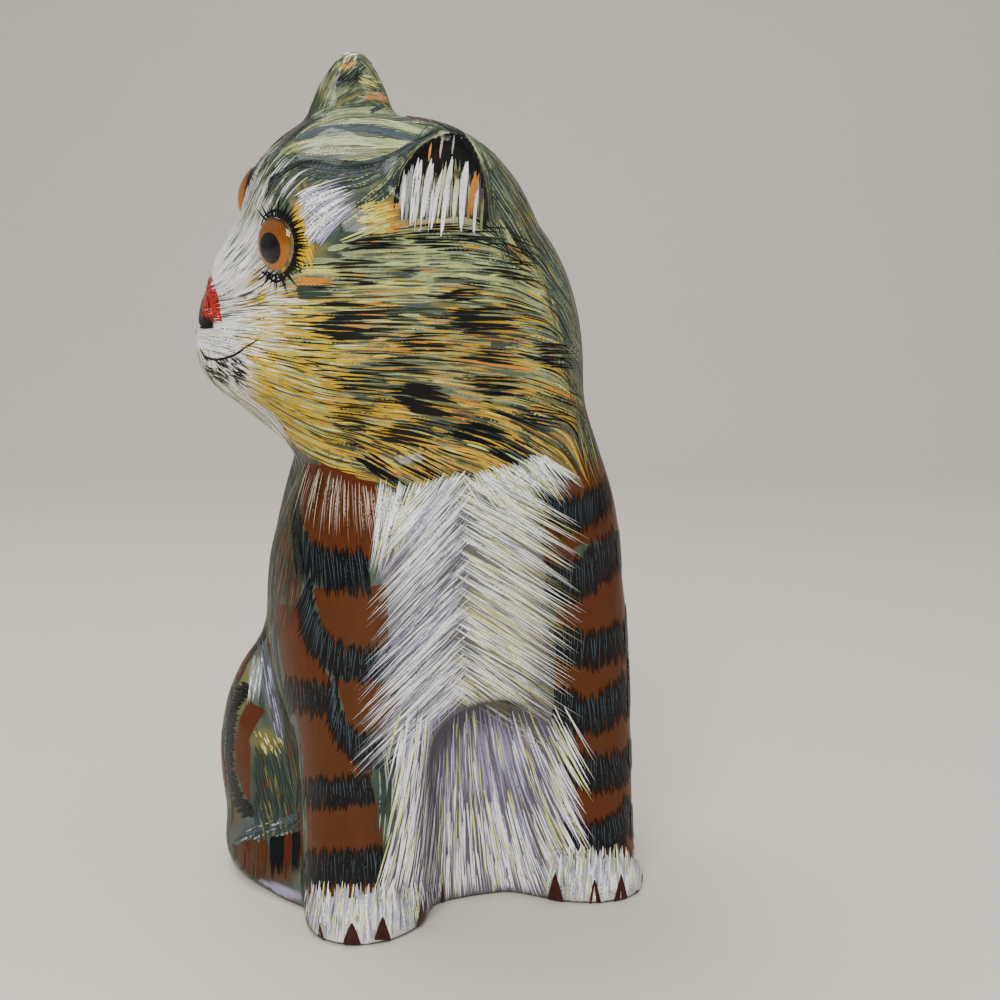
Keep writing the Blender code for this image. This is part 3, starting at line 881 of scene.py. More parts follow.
def jitter(colour, rng, amount=0.14):
    """A colour a little lighter or darker."""
    share = 1 + rng.uniform(-amount, amount)
    return tuple(min(c * share, 1.0) for c in colour)


def pick(rng, choices):
    """One paint by weight."""
    names = list(choices)
    return PAINTS[rng.choices(names, [choices[name] for name in names])[0]]


def scatter(rng, outline, count):
    """Random places inside an outline."""
    low_x, high_x = min(p[0] for p in outline), max(p[0] for p in outline)
    low_y, high_y = min(p[1] for p in outline), max(p[1] for p in outline)
    while count:
        x, y = rng.uniform(low_x, high_x), rng.uniform(low_y, high_y)
        if inside(x, y, outline):
            count -= 1
            yield x, y


def curve(line, spacing):
    """Places and headings a spacing apart along a smooth curve through points."""
    line = [Vector(p) for p in line]
    ends = [line[0] * 2 - line[1], *line, line[-1] * 2 - line[-2]]
    fine = []
    for p, q, r, s in zip(ends, ends[1:], ends[2:], ends[3:]):
        for step in range(12):
            t = step / 12
            fine.append((q * 2 + (r - p) * t + (p * 2 - q * 5 + r * 4 - s) * t * t
                         + (q * 3 - p - r * 3 + s) * t ** 3) / 2)
    fine.append(line[-1])
    result, left = [], 0.0
    for start, end in zip(fine, fine[1:]):
        length = (end - start).length
        heading = math.degrees(math.atan2(end.y - start.y, end.x - start.x))
        while left < length:
            place = start.lerp(end, left / length)
            result.append((place.x, place.y, heading))
            left += spacing
        left -= length
    return result


# The head

def crown_paint(x, y, rng):
    tone = streak(x, y, head_flow(x, y), 3.0, 90, 7) + rng.uniform(-0.6, 0.6)
    return mixed(("deep_green", "slate", "grey_green", "sage", "pale_green"), tone)


def cheek_under(x, y, rng):
    """Broad soft patches of colour: greener above, yellow to the front, darker below."""
    tone = streak(x, y, head_flow(x, y) * 0.5, 9.0, 60, 11) + rng.uniform(-0.35, 0.35)
    if y > 300 and x < 322:
        return mixed(("mustard", "yellow", "lemon", "yellow"), tone)
    if y < 300:
        return mixed(("grey_green", "sage", "pale_green", "lemon"), tone * 0.8)
    if y < 400:
        return mixed(("deep_green", "grey_green", "sage", "mustard", "orange"), tone * 1.1)
    return mixed(("deep_green", "deep_green", "olive", "mustard", "mustard"), tone)


def cheek_paint(x, y, rng):
    """Tabby fur: dark and light streaks in clusters, yellower to the front and greener above."""
    tone = streak(x, y, head_flow(x, y) * 0.5, 3.0, 50, 8)
    ahead = min(max((355 - x) / 90, 0), 1) * min(max((y - 280) / 40, 0), 1)
    lower = min(max((y - 290) / 80, 0), 1)
    dark, light = math.exp(-1.6 * tone), math.exp(1.6 * tone)
    return pick(rng, {
        "black": 0.5 * dark * (1 - 0.7 * ahead), "deep_green": (0.9 + 1.0 * lower) * dark * (1 - 0.7 * ahead),
        "grey_green": 2.0 * (1 - 0.7 * ahead), "slate": 0.5 * dark, "olive": 1.3,
        "sage": 1.8 * light * (1 - 0.5 * lower), "pale_green": (2.4 - 1.4 * lower) * light,
        "lemon": 0.9 * light, "mustard": (0.6 + 1.4 * lower + 2.0 * ahead) * light,
        "yellow": (0.15 + 0.3 * lower + 3.4 * ahead) * light, "orange": (0.3 + 0.7 * lower) * light,
        "dun": 0.5})


# Bands of the crown and the nape: a line, how far its strokes spread, how many, and their paints.
CROWN_BANDS = (
    (((313, 122), (351, 113), (402, 114), (440, 123)), 4, 60, {"pale_green": 3, "sage": 2, "silver": 1}),
    (((369, 113), (382, 106), (401, 109), (430, 119)), 2, 26, {"slate": 3, "deep_green": 2}),
    (((382, 118), (408, 118), (434, 124), (453, 131)), 3, 40, {"slate": 3, "deep_green": 1, "steel": 1}),
    (((319, 127), (364, 122), (389, 124), (427, 134)), 3, 60, {"pale_green": 4, "cream": 1, "sage": 1}),
    (((292, 141), (325, 130), (361, 128), (389, 134), (422, 141)), 3.5, 110,
     {"slate": 3, "steel": 3, "deep_green": 2}),
    (((280, 156), (300, 146), (338, 141), (364, 142), (415, 146)), 4, 80,
     {"pale_green": 3, "lemon": 1, "sage": 2}),
    (((290, 158), (325, 152), (364, 152), (408, 150)), 4, 70,
     {"olive": 3, "sage": 2, "cream": 1, "pink": 0.5}),
    (((266, 186), (280, 166), (300, 161), (325, 165), (357, 167), (389, 162), (408, 150)), 6, 150,
     {"black": 2, "deep_green": 3, "slate": 2}),
    (((276, 190), (292, 176), (330, 176), (372, 172), (396, 158)), 4, 60,
     {"slate": 2, "deep_green": 2, "dun": 0.7}),
    (((330, 190), (362, 182), (396, 160), (412, 148)), 5, 60, {"deep_green": 3, "sage": 1.5, "slate": 1}),
    (((336, 226), (356, 212), (384, 190), (402, 166)), 8, 110,
     {"teal": 3, "deep_green": 3, "pale_green": 1}),
)
NAPE_BANDS = (
    (((484, 146), (518, 184), (548, 238), (568, 300), (582, 370), (594, 430)), 5, 110,
     {"deep_green": 3, "slate": 2, "black": 1}),
    (((468, 134), (500, 160), (530, 200), (556, 250), (574, 320), (588, 390), (600, 436)), 4, 110,
     {"sage": 3, "slate": 2, "silver": 1, "mustard": 0.4}),
    (((486, 160), (508, 196), (530, 240), (552, 300), (568, 360), (582, 432)), 5, 90,
     {"grey_green": 3, "olive": 2, "pale_green": 1}),
    (((470, 140), (486, 170), (492, 212), (500, 240)), 5, 40, {"grey_green": 3, "deep_green": 2, "sage": 1}),
)


def paint_head(surface, views, material):
    """The tabby strokes of the head, on the near side and mirrored to the far side."""
    rng = random.Random(11)
    for side in ("front", "far_cheek"):
        coats = Brush(surface, rng, UNDER)
        coats.move(views[side])
        coats.cover(CHEEK, 1500, (22, 64), (3.0, 7.5), cheek_under, head_flow)
        coats.cover(CHEEK, 1600, (14, 54), (0.9, 2.8), cheek_paint, head_flow)
        coats.cover(CROWN, 500, (16, 44), (0.9, 2.0), crown_paint, head_flow)
        for line, spread, count, paints in CROWN_BANDS + NAPE_BANDS:
            coats.sweep(line, spread, count * 2, (18, 56), (0.8, 1.9), paints)
        coats.cover(FACE_SIDE, 260, (14, 34), (0.8, 1.6),
                    {"grey_green": 3, "sage": 2, "deep_green": 2, "white": 1.5}, head_flow)
        coats.cover(MUZZLE, 1100, (9, 30), (0.6, 1.4),
                    {"white": 7, "cream": 2, "lilac": 1, "grey_green": 1.6, "deep_green": 0.9}, head_flow)
        coats.cover(CHIN, 300, (12, 36), (1.0, 2.8),
                    {"yellow": 5, "mustard": 2, "lemon": 2, "sage": 1.6, "cream": 1, "deep_green": 0.5},
                    head_flow)
        coats.cover(NAPE, 900, (18, 50), (1.0, 2.6),
                    {"grey_green": 3, "deep_green": 3, "sage": 2.4, "slate": 2, "mustard": 0.5}, head_flow)
        coats.cover([(246, 286), (290, 296), (276, 400), (236, 392)], 160, (12, 30), (0.7, 1.5),
                    {"white": 2, "lemon": 2, "yellow": 3}, head_flow)
        coats.cover(CHEEK[:18], 200, (26, 60), (0.9, 1.8), {"black": 4, "deep_green": 1}, head_flow)
        coats.cover(FAR_EAR, 260, (8, 24), (0.8, 1.7),
                    {"sage": 3, "olive": 3, "grey_green": 3, "slate": 2, "pale_green": 1.5}, far_ear_flow)
        if side == "front":
            paint_chin(coats, views)
        coats.finish(f"head_strokes_{side}", material)


def paint_chin(coats, views):
    """Pale strokes under the mouth, laid from in front of the face."""
    chin = coats.surface.seen(views["front"], 218, 386)[0]
    x, y, _ = views["face"].pixels([chin])[0]
    turns = [math.pi / 6 * index for index in range(12)]
    area = [(x + 50 * math.cos(turn), y + 46 * math.sin(turn)) for turn in turns]
    coats.move(views["face"], False)
    coats.cover(area, 340, (12, 34), (1.0, 2.2), {"white": 6, "cream": 2, "lemon": 2, "silver": 1}, down)


# Black clusters of the cheek: where their strokes start, how many, their length, width and heading.
BLACK_MARKS = (
    (316, 328, 302, 306, 2, 56, 3.0, -2), (316, 328, 312, 340, 9, 64, 3.4, -2),
    (388, 405, 382, 396, 5, 46, 3.4, 2), (402, 412, 386, 412, 9, 46, 5.6, 8),
    (330, 345, 366, 390, 6, 56, 2.4, 2), (452, 464, 308, 334, 9, 62, 3.2, -1),
    (470, 482, 375, 396, 6, 52, 2.6, 1), (534, 542, 342, 368, 8, 36, 2.4, 0),
    (520, 540, 404, 424, 5, 44, 2.2, 8), (444, 470, 420, 438, 8, 54, 3.6, 12),
    (372, 392, 424, 440, 7, 56, 3.0, 10), (355, 380, 450, 468, 7, 48, 3.4, 28),
    (392, 440, 452, 472, 7, 46, 2.4, 26), (486, 512, 440, 454, 7, 40, 2.6, 26),
    (332, 345, 400, 432, 7, 46, 2.0, 2), (392, 412, 332, 352, 6, 54, 2.0, -2),
    (330, 372, 238, 250, 8, 62, 1.8, -4), (396, 440, 224, 250, 9, 54, 2.0, -4),
    (490, 505, 258, 280, 7, 42, 2.0, 4), (430, 450, 290, 302, 5, 48, 2.4, -4),
    (330, 350, 258, 286, 7, 46, 2.2, -2), (300, 310, 326, 380, 8, 40, 1.6, 2),
    (470, 480, 346, 362, 5, 50, 2.0, 2), (380, 390, 356, 372, 4, 50, 2.2, 0),
    (500, 520, 232, 250, 5, 34, 1.8, 20), (462, 480, 226, 246, 5, 40, 1.8, 0),
    (560, 568, 380, 420, 6, 22, 1.6, 24),
)

# The near ear's pale strokes: top, bottom, width and paint.
EAR_STROKES = (
    ((406, 172), (401, 216), 4.2, "white"), ((414, 164), (406, 220), 4.4, "silver"),
    ((421, 156), (411, 224), 5.4, "white"), ((433, 158), (421, 221), 5.6, "white"),
    ((442, 168), (431, 227), 4.6, "white"), ((446, 160), (437, 216), 2.4, "cream"),
    ((453, 156), (442, 233), 5.6, "white"), ((458, 176), (453, 221), 4.2, "cream"),
    ((467, 160), (461, 232), 6.2, "white"), ((477, 170), (468, 218), 5.0, "orange"),
    ((477, 186), (473, 230), 3.0, "white"), ((482, 196), (480, 228), 3.0, "sage"),
    ((432, 140), (429, 158), 2.0, "orange"), ((443, 137), (440, 156), 1.8, "pink"),
    ((454, 134), (452, 150), 1.6, "silver"),
)

# Small patches on the far ear: an outline, how many strokes, their heading and length, and their paints.
EAR_PATCHES = (
    ([(322, 76), (328, 60), (338, 56), (334, 74)], 26, -62, 14, {"black": 3, "deep_green": 1}),
    ([(324, 92), (336, 76), (356, 72), (354, 88)], 46, -38, 16, {"black": 2, "deep_green": 3, "slate": 2}),
    ([(338, 72), (344, 58), (354, 58), (352, 72)], 26, -60, 10, {"orange": 4, "cream": 1, "lemon": 1}),
    ([(336, 57), (346, 52), (354, 54), (346, 60)], 14, -20, 9, {"cream": 3, "white": 2}),
    ([(354, 86), (362, 74), (372, 80), (372, 88)], 20, 20, 12, {"lemon": 2, "pale_green": 2, "olive": 1}),
    ([(354, 98), (358, 90), (384, 92), (388, 101)], 28, 12, 16, {"pink": 3, "orange": 2, "silver": 1}),
)


def paint_marks(surface, views, material):
    """The black tabby marks, the brow, the ears, the lashes and the mouth."""
    rng = random.Random(17)
    marks = Brush(surface, rng, OVER, THICKNESS * 2)
    pale = Brush(surface, rng, TOP, THICKNESS * 2)
    for view in (views["front"], views["far_cheek"]):
        marks.move(view)
        pale.move(view)
        for x0, x1, y0, y1, number, length, width, heading in BLACK_MARKS:
            for index in range(number):
                row = 2 * (index + 0.5) / number - 1
                x = (x0 + x1) / 2 - 8 + 16 * row * row + rng.uniform(-9, 9)
                marks.stroke(x, (y0 + y1) / 2 + (y1 - y0) * row / 2, heading + rng.uniform(-3, 3),
                             length * (1.1 - 0.35 * row * row) * rng.uniform(0.8, 1.1),
                             width * rng.uniform(0.75, 1.15), jitter(PAINTS["black"], rng), bend=6,
                             blunt=0.06, pointed=0.7)
        marks.sweep(((264, 202), (276, 180), (303, 165), (345, 168), (383, 161), (406, 149)), 3.5, 70,
                    (26, 60), (1.2, 2.6), {"black": 2, "deep_green": 3, "slate": 1})
        paint_brow(marks, pale, rng)
        paint_ears(marks, pale, rng)
        paint_face(marks, pale, rng)
    marks.finish("head_marks", material)
    pale.finish("ear_strokes", material)


def paint_brow(marks, pale, rng):
    """The white fan above the eye and the yellow patches beside it."""
    for _ in range(120):
        share = rng.random()
        x, y = 295 + 16 * share + rng.uniform(-3, 12), 197 + 50 * share + rng.uniform(-3, 3)
        pale.dab(x, y, -34 - 26 * share, (22, 56), (1.2, 2.6),
                 {"white": 5, "lilac": 2, "silver": 2, "slate": 1}, bend=26)
    for _ in range(60):
        x, y = rng.uniform(297, 311), rng.uniform(208, 262)
        marks.dab(x, y, 76 + rng.uniform(-8, 8), (8, 20), (1.2, 2.4), {"yellow": 4, "mustard": 2, "lemon": 1})
    for _ in range(90):
        x, y = rng.uniform(356, 392), rng.uniform(206, 234)
        paint = pick(rng, {"yellow": 3, "lemon": 3, "pale_green": 2} if x < 384
                     else {"orange": 3, "mustard": 1})
        marks.stroke(x, y, -16 + rng.uniform(-8, 8), rng.uniform(9, 20), rng.uniform(1.4, 2.6),
                     jitter(paint, rng))
    for x, y, length, paint in ((296, 279, 38, "orange"), (298, 283, 34, "orange"), (297, 288, 34, "teal"),
                                (298, 292, 36, "teal"), (298, 296, 32, "teal"), (302, 272, 40, "lemon")):
        for _ in range(3):
            marks.stroke(x, y + rng.uniform(-2, 2), rng.uniform(-4, 4), length, 3.0,
                         jitter(PAINTS[paint], rng))


def paint_ears(marks, pale, rng):
    """Black inside the near ear with pale strokes over it, and the bands on the far ear."""
    rim = curve(NEAR_EAR[:11], 1.4)
    for x, y, _ in rim:
        for _ in range(2):
            lean = 98 + (x - 400) / 85 * -10
            marks.stroke(x + rng.uniform(-1, 1), y + rng.uniform(1, 5), lean + rng.uniform(-4, 4),
                         rng.uniform(22, 40) * (0.55 if x < 410 or x > 474 else 1), 3.6,
                         jitter(PAINTS["black"], rng), pointed=0.6, blunt=0.8, step=5)
    for _ in range(150):
        x = rng.uniform(402, 482)
        marks.dab(x, rng.uniform(170, 204), 97 - (x - 400) / 9, (14, 26), (1.6, 3.0),
                  {"black": 2, "deep_green": 3, "olive": 2, "dun": 2, "slate": 2}, step=5)
    for _ in range(80):
        x = rng.uniform(402, 484)
        pale.dab(x, rng.uniform(168, 190), 99 - (x - 400) / 9, (26, 44), (0.8, 2.2),
                 {"silver": 4, "white": 2, "cream": 1, "ash": 2}, step=4, blunt=0.1)
    for top, bottom, width, paint in EAR_STROKES:
        run = Vector(bottom) - Vector(top)
        heading = math.degrees(math.atan2(run.y, run.x))
        for _ in range(3):
            pale.stroke(top[0] + rng.uniform(-1, 1) * width * 0.3, top[1] + rng.uniform(0, 6), heading + 3,
                        run.length * rng.uniform(0.85, 1.05), width * 0.85, jitter(PAINTS[paint], rng, 0.1),
                        bend=-6, step=4, pointed=0.5, blunt=0.12)
    for x, y, heading in rim[:48]:
        marks.stroke(x, y + 0.5, heading, 8, 1.2,
                     jitter(pick(rng, {"sage": 2, "olive": 2, "orange": 1}), rng), step=4)
    for area, count, heading, length, paints in EAR_PATCHES:
        for x, y in scatter(rng, area, count):
            marks.stroke(x, y, heading + rng.uniform(-8, 8), length * rng.uniform(0.7, 1.1),
                         rng.uniform(1.0, 2.2), jitter(pick(rng, paints), rng), step=4)


# Lines of the face: round the eye, down the nose's edge and along the mouth.
EYE_RIM_LINE = [
    (262, 226), (266, 216), (277, 211), (290, 220), (297, 240), (295, 260), (286, 276), (276, 281),
    (266, 274),
]
NOSE_EDGE = [(209, 270), (213, 286), (217, 302), (220, 318)]
MOUTH = [(201, 349), (206, 356), (218, 359), (234, 355), (248, 346), (253, 343)]


def paint_face(marks, pale, rng):
    """Fine black lashes round the eye, the nose, the nostrils and the mouth."""
    middle, half = (277, 246), (17.5, 28)
    for index in range(54):
        around = -118 + 240 * index / 54 + rng.uniform(-2, 2)
        c, s = math.cos(math.radians(around)), math.sin(math.radians(around))
        out = math.degrees(math.atan2(s * half[0], c * half[1]))
        marks.stroke(middle[0] + c * half[0], middle[1] + s * half[1], out + rng.uniform(-9, 9) - 8,
                     rng.uniform(10, 21) * (1.15 if abs(s) > 0.6 else 0.9), 2.3, PAINTS["black"], bend=16,
                     step=3, blunt=0.9, pointed=1.2)
    for x, y in scatter(rng, NOSE, 260):
        pale.stroke(x, y, 78 + rng.uniform(-10, 10), min(rng.uniform(6, 14), 322 - y), rng.uniform(1.8, 3.2),
                    jitter(PAINTS["red"], rng, 0.2), step=2, blunt=0.8)
    for x, y, _ in curve(NOSE_EDGE, 1.6):
        pale.stroke(x - 6, y, rng.uniform(-30, 20), rng.uniform(6, 11), 2.0, jitter(PAINTS["red"], rng, 0.2),
                    step=2, blunt=0.8)
    for x, y, heading in curve(EYE_RIM_LINE, 2.2):
        marks.stroke(x, y, heading, 5, 2.2, PAINTS["black"], step=3, blunt=0.9, pointed=0.1)
    for index in range(22):
        pale.stroke(200.5 + rng.uniform(0, 3), 317 + index * 0.5, 2, rng.uniform(9, 15), 2.2,
                    jitter(PAINTS["black"], rng), step=2, blunt=0.9)
    for x, y, heading in curve(MOUTH, 1.4):
        marks.stroke(x, y, heading, 8, 2.9 if x < 240 else 1.8, PAINTS["black"], step=4, blunt=0.7)
    for _ in range(70):
        x, y = 204 + 36 * rng.random(), 357 + 24 * rng.random()
        marks.stroke(x, y, 34 + rng.uniform(-16, 16), rng.uniform(6, 17), rng.uniform(1.4, 2.8),
                     PAINTS["black"], step=3)
    marks.sweep(((203, 366), (215, 384), (240, 404), (270, 424)), 3, 26, (14, 30), (0.8, 1.5),
                {"black": 2, "deep_green": 2, "white": 2})


# The body

# Black bands round the legs: a line, its height and the lean of its strokes at both ends.
NEAR_BANDS = (
    (((295, 502), (297, 530), (306, 556), (332, 571), (368, 571)), (20, 46), (100, 80)),
    (((303, 592), (311, 628), (327, 653), (350, 665), (394, 664)), 38, (112, 84)),
    (((284, 695), (312, 698), (338, 699)), 38, (90, 84)),
    (((332, 688), (334, 714), (346, 738), (368, 751), (395, 750)), 38, (104, 80)),
    (((298, 792), (336, 793), (371, 788)), 34, (92, 80)),
    (((302, 868), (344, 869), (384, 865)), 40, (92, 86)),
)
FAR_BANDS = (
    (((541, 506), (570, 516), (596, 504), (618, 484)), 40, (96, 78)),
    (((547, 584), (576, 580), (602, 562), (626, 538)), 46, (92, 76)),
    (((556, 642), (590, 650), (632, 636)), 40, (92, 80)),
    (((555, 704), (588, 716), (616, 702), (634, 682)), 42, (92, 76)),
    (((566, 766), (598, 774), (634, 764)), 40, (92, 78)),
    (((566, 838), (600, 840), (624, 822), (636, 802)), 38, (92, 76)),
)
HAUNCH_BAND = ((249, 686), (233, 706), (227, 738), (227, 770), (236, 796), (252, 816))


def paint_legs(surface, views, material):
    """The combed bands of the legs, the haunch, and the edge of the shoulder."""
    rng = random.Random(23)
    bands = Brush(surface, rng, UNDER, THICKNESS * 3)
    for name, lines in (("front", NEAR_BANDS + FAR_BANDS), ("far_flank", NEAR_BANDS)):
        bands.move(views[name], name == "front")
        bands.cover([(288, 466), (304, 500), (302, 600), (280, 612), (262, 606), (274, 520)], 240, (16, 40),
                    (1.4, 3.0), {"brown": 4, "dun": 2, "deep_green": 2, "rust": 1.5}, lambda x, y: 100)
        for line, height, leans in lines:
            bands.comb(line, height, leans)
        bands.comb(HAUNCH_BAND, 15, (20, -20), spacing=1.2, width=3.4)
        bands.sweep(((297, 500), (296, 530), (299, 560)), 4, 60, (14, 34), (1.2, 2.4),
                    {"black": 3, "deep_green": 2})
        bands.sweep(((384, 742), (388, 780), (386, 815)), 9, 60, (16, 36), (0.9, 1.8),
                    {"teal": 3, "deep_green": 2, "silver": 1})
        bands.sweep(((259, 656), (257, 672), (255, 690)), 6, 60, (8, 18), (1.2, 2.2),
                    {"white": 2, "silver": 4, "lilac": 1})
        bands.sweep(((262, 640), (271, 690), (280, 736)), 5, 60, (14, 30), (1.0, 2.2),
                    {"ash": 4, "lilac": 2, "slate": 2})
        bands.cover([(254, 730), (284, 736), (282, 748), (258, 746)], 46, (5, 12), (1.6, 3.0),
                    {"lemon": 3, "cream": 1, "olive": 3}, lambda x, y: 64)
        bands.cover([(254, 744), (288, 746), (292, 836), (252, 838)], 160, (14, 34), (1.6, 3.2),
                    {"teal": 4, "deep_green": 2, "olive": 1.6, "brown": 0.8}, lambda x, y: 78)
        bands.sweep(((236, 846), (258, 836), (294, 822)), 8, 90, (12, 30), (1.4, 3.0),
                    {"slate": 4, "teal": 3, "silver": 0.5})
        for x, paint in ((233, "teal"), (240, "brown"), (247, "rust"), (255, "brown"), (263, "ochre"),
                         (275, "black"), (281, "black"), (289, "rust"), (297, "black")):
            for _ in range(12):
                bands.stroke(x + rng.uniform(-3.5, 3.5), 845 - (x - 233) * 0.2 + rng.uniform(-2, 6), 92,
                             rng.uniform(24, 42), 3.2, jitter(PAINTS[paint], rng), blunt=0.8, pointed=0.6)
    bands.finish("leg_bands", material)


# The claws: where each stands across, its top and bottom, and its width.
CLAWS = (
    (321, 930, 944, 9), (352, 923, 943, 17), (382, 917, 939, 16), (420, 904, 926, 10), (441, 894, 912, 5),
    (556, 884, 910, 15), (594, 885, 907, 13), (620, 879, 902, 13),
)


def paint_bib(surface, views, material):
    """The herringbone of the bib, the fringe under the jaw, the hollow's strokes and the paws."""
    rng = random.Random(31)
    bib = Brush(surface, rng, OVER, THICKNESS * 1.5)
    bib.move(views["front"])
    pale = {"white": 6, "cream": 1.6, "lilac": 1.6, "lemon": 1.6, "ash": 0.6}
    cool = {"white": 5, "lilac": 2.4, "silver": 2.2, "ash": 2.4, "slate": 1}
    warm = {"white": 4.4, "lemon": 1.8, "cream": 2, "silver": 2.2, "ash": 2, "olive": 0.4}
    paws = {"white": 4, "lilac": 2.6, "silver": 2.4, "cream": 1.4, "lemon": 1, "ash": 0.8}
    # the fringe
    for _ in range(230):
        x = rng.uniform(306, 400)
        heading = 112 - (x - 306) * 0.42
        bib.dab(x, jaw_edge(x) + rng.uniform(4, 18), heading + rng.uniform(-3, 3),
                (28, 62), (0.6, 1.4), {"pink": 4, "cream": 0.8, "dun": 3, "ochre": 3}, bend=-8)
    for _ in range(260):
        share = rng.random()
        x = 380 + 86 * share
        bib.dab(x, jaw_edge(x) + rng.uniform(-4, 16),
                96 + 34 * share + rng.uniform(-4, 4), (34, 84), (0.9, 1.9),
                {"white": 4, "lemon": 2, "teal": 1, "silver": 2})
    # the herringbone
    for _ in range(4):
        for index in range(190):
            share = (index + rng.random()) / 190
            y = 474 + 226 * share
            x = 463 - 7 * share
            bib.stroke(x + rng.uniform(-30, 12), y + rng.uniform(-4, 4), 133 + 5 * share + rng.uniform(-4, 4),
                       rng.uniform(40, 112) * (0.85 + 0.25 * share), rng.uniform(0.6, 1.5),
                       jitter(pick(rng, cool), rng), bend=-3, pointed=0.9)
            bib.dab(x + rng.uniform(-8, 44), y + rng.uniform(-4, 14), 28 + 5 * share + rng.uniform(-4, 4),
                    (44, 98), (0.6, 1.5), warm, bend=4, pointed=0.9)
    for _ in range(200):
        x = 462 + 84 * rng.random()
        bib.dab(x, jaw_edge(x) + rng.uniform(-4, 10), 44 + rng.uniform(-14, 14),
                (22, 56), (0.8, 1.7), {"white": 4, "lemon": 1.4, "silver": 2})
    # the legs' inner sides and the hollow
    for _ in range(900):
        y = rng.uniform(705, 880)
        x = rng.uniform(400 if y < 820 else 390, 566)
        heading = 106 - (x - 396) / 170 * 44
        # Mauve and lilac strokes at the top of the hollow, between the front legs, are painted shade.
        in_painted_shade = 430 < x < 540 and y < 800
        paints = {"lilac": 4, "mauve": 3, "white": 1.5, "lemon": 1} if in_painted_shade else pale
        bib.dab(x, y, heading + rng.uniform(-3, 3), (26, 70), (0.9, 2.2), paints, bend=-4)
    # the paws
    for low_x, high_x, top, count in ((304, 440, 890, 420), (552, 640, 852, 300)):
        for _ in range(count):
            x = rng.uniform(low_x, high_x)
            bib.dab(x, top + rng.uniform(-10, 40),
                    90 + (x - (low_x + high_x) / 2) * -0.12 + rng.uniform(-6, 6), (14, 40), (1.0, 2.4), paws)
    bib.finish("bib_strokes", material)
    claws = Brush(surface, rng, TOP * 1.4)
    for view in (views["front"], views["far_flank"]):
        claws.move(view, view is views["front"])
        for x, top, bottom, width in CLAWS:
            height = bottom - top
            for index in range(7):
                foot, low = x + (index - 3) * width / 7, bottom
                while low > top and not surface.seen(view, foot, low):
                    low -= 1
                peak = low - height
                claws.stroke(foot, low, math.degrees(math.atan2(peak - low, x - foot)),
                             math.hypot(x - foot, height), width / 5, jitter(PAINTS["claw"], rng, 0.2),
                             step=3, pointed=0.3, blunt=1.0)
    claws.finish("claws", material)


# The flanks and the back, which are painted plainer

# Bars on the flanks: a line, its height and leans. How far down the picture the bars of the back are.
FLANK_BARS = (
    (((296, 516), (380, 512), (470, 524), (556, 552)), 34, (84, 80)),
    (((286, 590), (370, 586), (470, 600), (556, 634)), 34, (84, 80)),
    (((280, 662), (330, 652), (380, 650)), 28, (84, 80)),
)
BACK_BARS = (516, 584, 652, 720, 788, 850)

# Arcs on the haunches: a line, its height and leans, and its paint.
HAUNCH_ARCS = (
    (((300, 880), (308, 780), (356, 712), (430, 690), (502, 722), (540, 790)), 26, (0, 165), "black"),
    (((330, 880), (338, 796), (378, 738), (430, 720), (490, 748), (516, 806)), 32, (0, 165), "rust"),
    (((362, 880), (372, 814), (402, 772), (440, 758), (478, 786), (492, 840)), 22, (0, 165), "black"),
    (((396, 880), (404, 836), (424, 808), (446, 812), (458, 850)), 24, (0, 165), "rust"),
)


def paint_hidden_sides(surface, views, material):
    """Bars on the flanks and back, arcs on the haunches, a stripe down the spine, streaks on the nape."""
    rng = random.Random(43)
    bands = Brush(surface, rng, UNDER, THICKNESS * 2)
    fur = {"grey_green": 3, "deep_green": 3, "teal": 3, "olive": 1, "dun": 1}
    for side in ("right_side", "left_side"):
        bands.move(views[side])
        bands.cover([(260, 430), (720, 430), (720, 910), (260, 910)], 2400, (18, 50), (1.6, 3.6), fur,
                    lambda x, y: 86)
        for line, height, leans in FLANK_BARS:
            bands.comb([(x, y + height * 0.9) for x, y in line], height, leans, "rust", 1.8, 4.6, False)
            bands.comb(line, height, leans, spacing=1.6, width=4.2)
        for line, height, leans, paint in HAUNCH_ARCS:
            bands.comb(line, height, leans, paint, 1.6, 4.2, paint == "black")
    bands.move(views["back"])
    bands.cover([(340, 430), (660, 430), (690, 910), (310, 910)], 1700, (18, 50), (1.6, 3.6), fur, down)
    for y in BACK_BARS:
        for way in (1, -1):
            line = [(500 + way * x, y + rise) for x, rise in ((20, 0), (70, 3), (120, 10), (170, 20))]
            leans = (90, 90 - 14 * way)
            bands.comb([(x, y + 29) for x, y in line], 32, leans, "rust", 1.8, 4.6, False)
            bands.comb(line, 32, leans, spacing=1.6, width=4.2)
    bands.sweep(((500, 430), (500, 600), (500, 760), (500, 900)), 12, 360, (30, 80), (1.6, 3.4),
                {"black": 4, "deep_green": 2, "slate": 1})
    for name in ("nape", "nape_back"):
        bands.move(views[name])
        bands.cover([(260, 120), (740, 120), (740, 640), (260, 640)], 2600, (30, 80), (1.4, 3.4),
                    nape_paint, down)
    bands.finish("back_strokes", material)


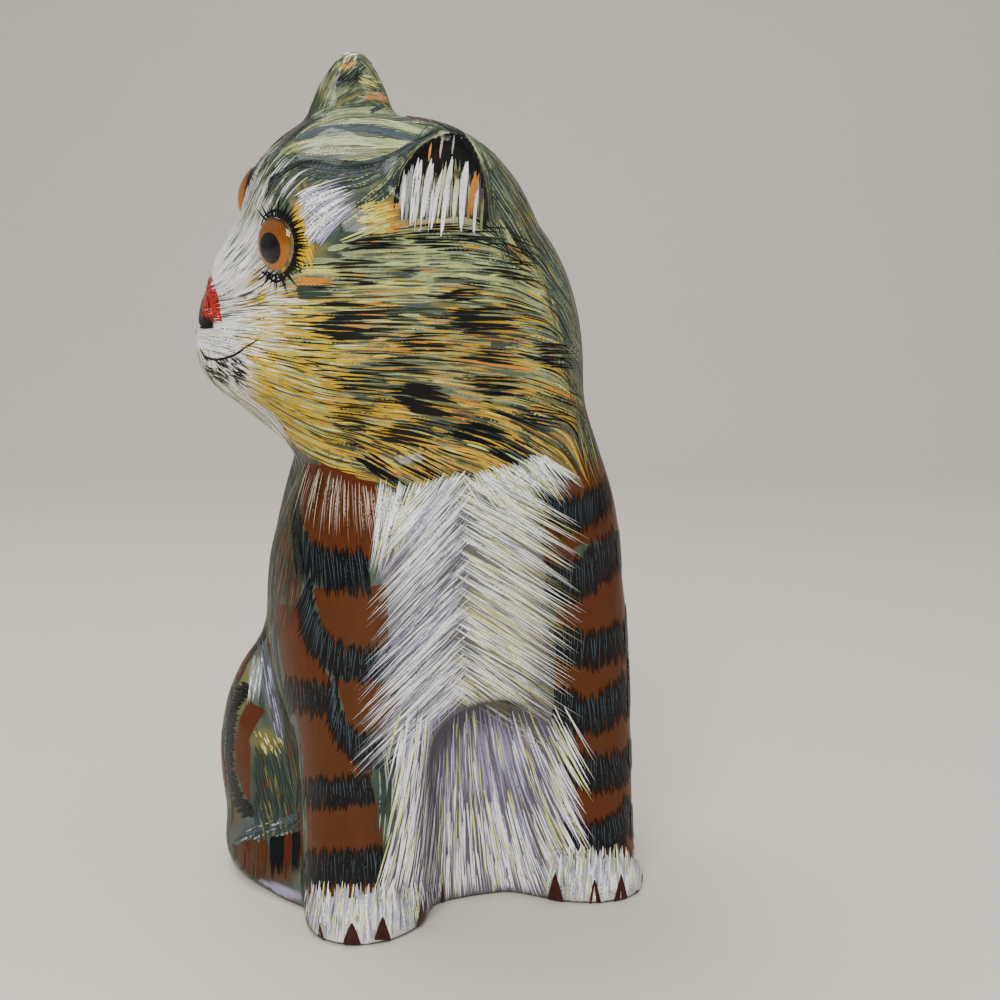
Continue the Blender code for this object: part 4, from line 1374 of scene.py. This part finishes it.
def nape_paint(x, y, rng):
    """Streaks from dark to pale that run down the back of the head."""
    tone = streak(x, y, 90, 5.0, 160, 14) + rng.uniform(-0.4, 0.4)
    return mixed(("black", "deep_green", "slate", "grey_green", "sage", "pale_green"), tone)


# The glass eyes

def make_eyes(eyes):
    """Domes of clear glass over painted irises."""
    glass = Shader("clear_glass", roughness=0.0, transmission_weight=1.0, ior=1.45).finish((1, 1, 1))
    rim = EYE_PROUD - EYE_DOME
    for side, place in eyes.items():
        outside = dome_profile(EYE_RADIUS, rim - EYE_RIM, rim, EYE_DOME)
        lens = new_piece(f"eye_{side}_glass", spun(outside, place), glass)
        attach(lens, "root")
        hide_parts(f"eye_{side}")
        inside_glass = dome_profile(EYE_RADIUS - EYE_GLASS, rim - EYE_RIM * 0.6, rim, EYE_DOME - EYE_GLASS)
        inner = new_piece(f"eye_{side}_iris", spun(inside_glass, place), iris_paint(side, place))
        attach(inner, "root")


def iris_paint(side, place):
    """An amber iris round a black pupil, darker at its rim, and darker above as painted shade from the lid.
    """
    shader = Shader(f"iris_{side}", roughness=1.0, specular_ior_level=0.0)
    here = shader.node("ShaderNodeTexCoord", output="Object")
    middle = place @ Vector((0.5 * MM * (1 if side == "left" else -1), -0.7 * MM, EYE_PROUD))
    away = shader.node("ShaderNodeVectorMath", {"operation": 'DISTANCE'}, {0: here, 1: middle},
                       output="Value")
    height = shader.node("ShaderNodeSeparateXYZ", {}, [here], output="Z") - middle.z
    flecks = shader.noise(1500, 2.0)
    # Painted shade: the iris is darker above, where the lid's shadow falls, and a lighter amber below.
    amber = shader.mix(shader.step(height + flecks * 0.001, -0.002, 0.004), srgb(204, 130, 22),
                       srgb(150, 88, 14))
    amber = shader.mix(shader.step(away, 0.0043, 0.0052), amber, srgb(44, 26, 10))
    gaze = tuple(place.to_3x3() @ Vector((0, 0, 1)))
    depth = shader.node("ShaderNodeVectorMath", {"operation": 'DOT_PRODUCT'}, {0: here, 1: gaze},
                        output="Value")
    low = place.translation.dot(Vector(gaze)) + EYE_PROUD - EYE_DOME
    amber = shader.mix(shader.step(depth, low, low + 0.8 * MM), srgb(16, 12, 8), amber)
    return shader.finish(shader.mix(shader.step(away, PUPIL, PUPIL * 1.06), srgb(6, 6, 8), amber))


main()
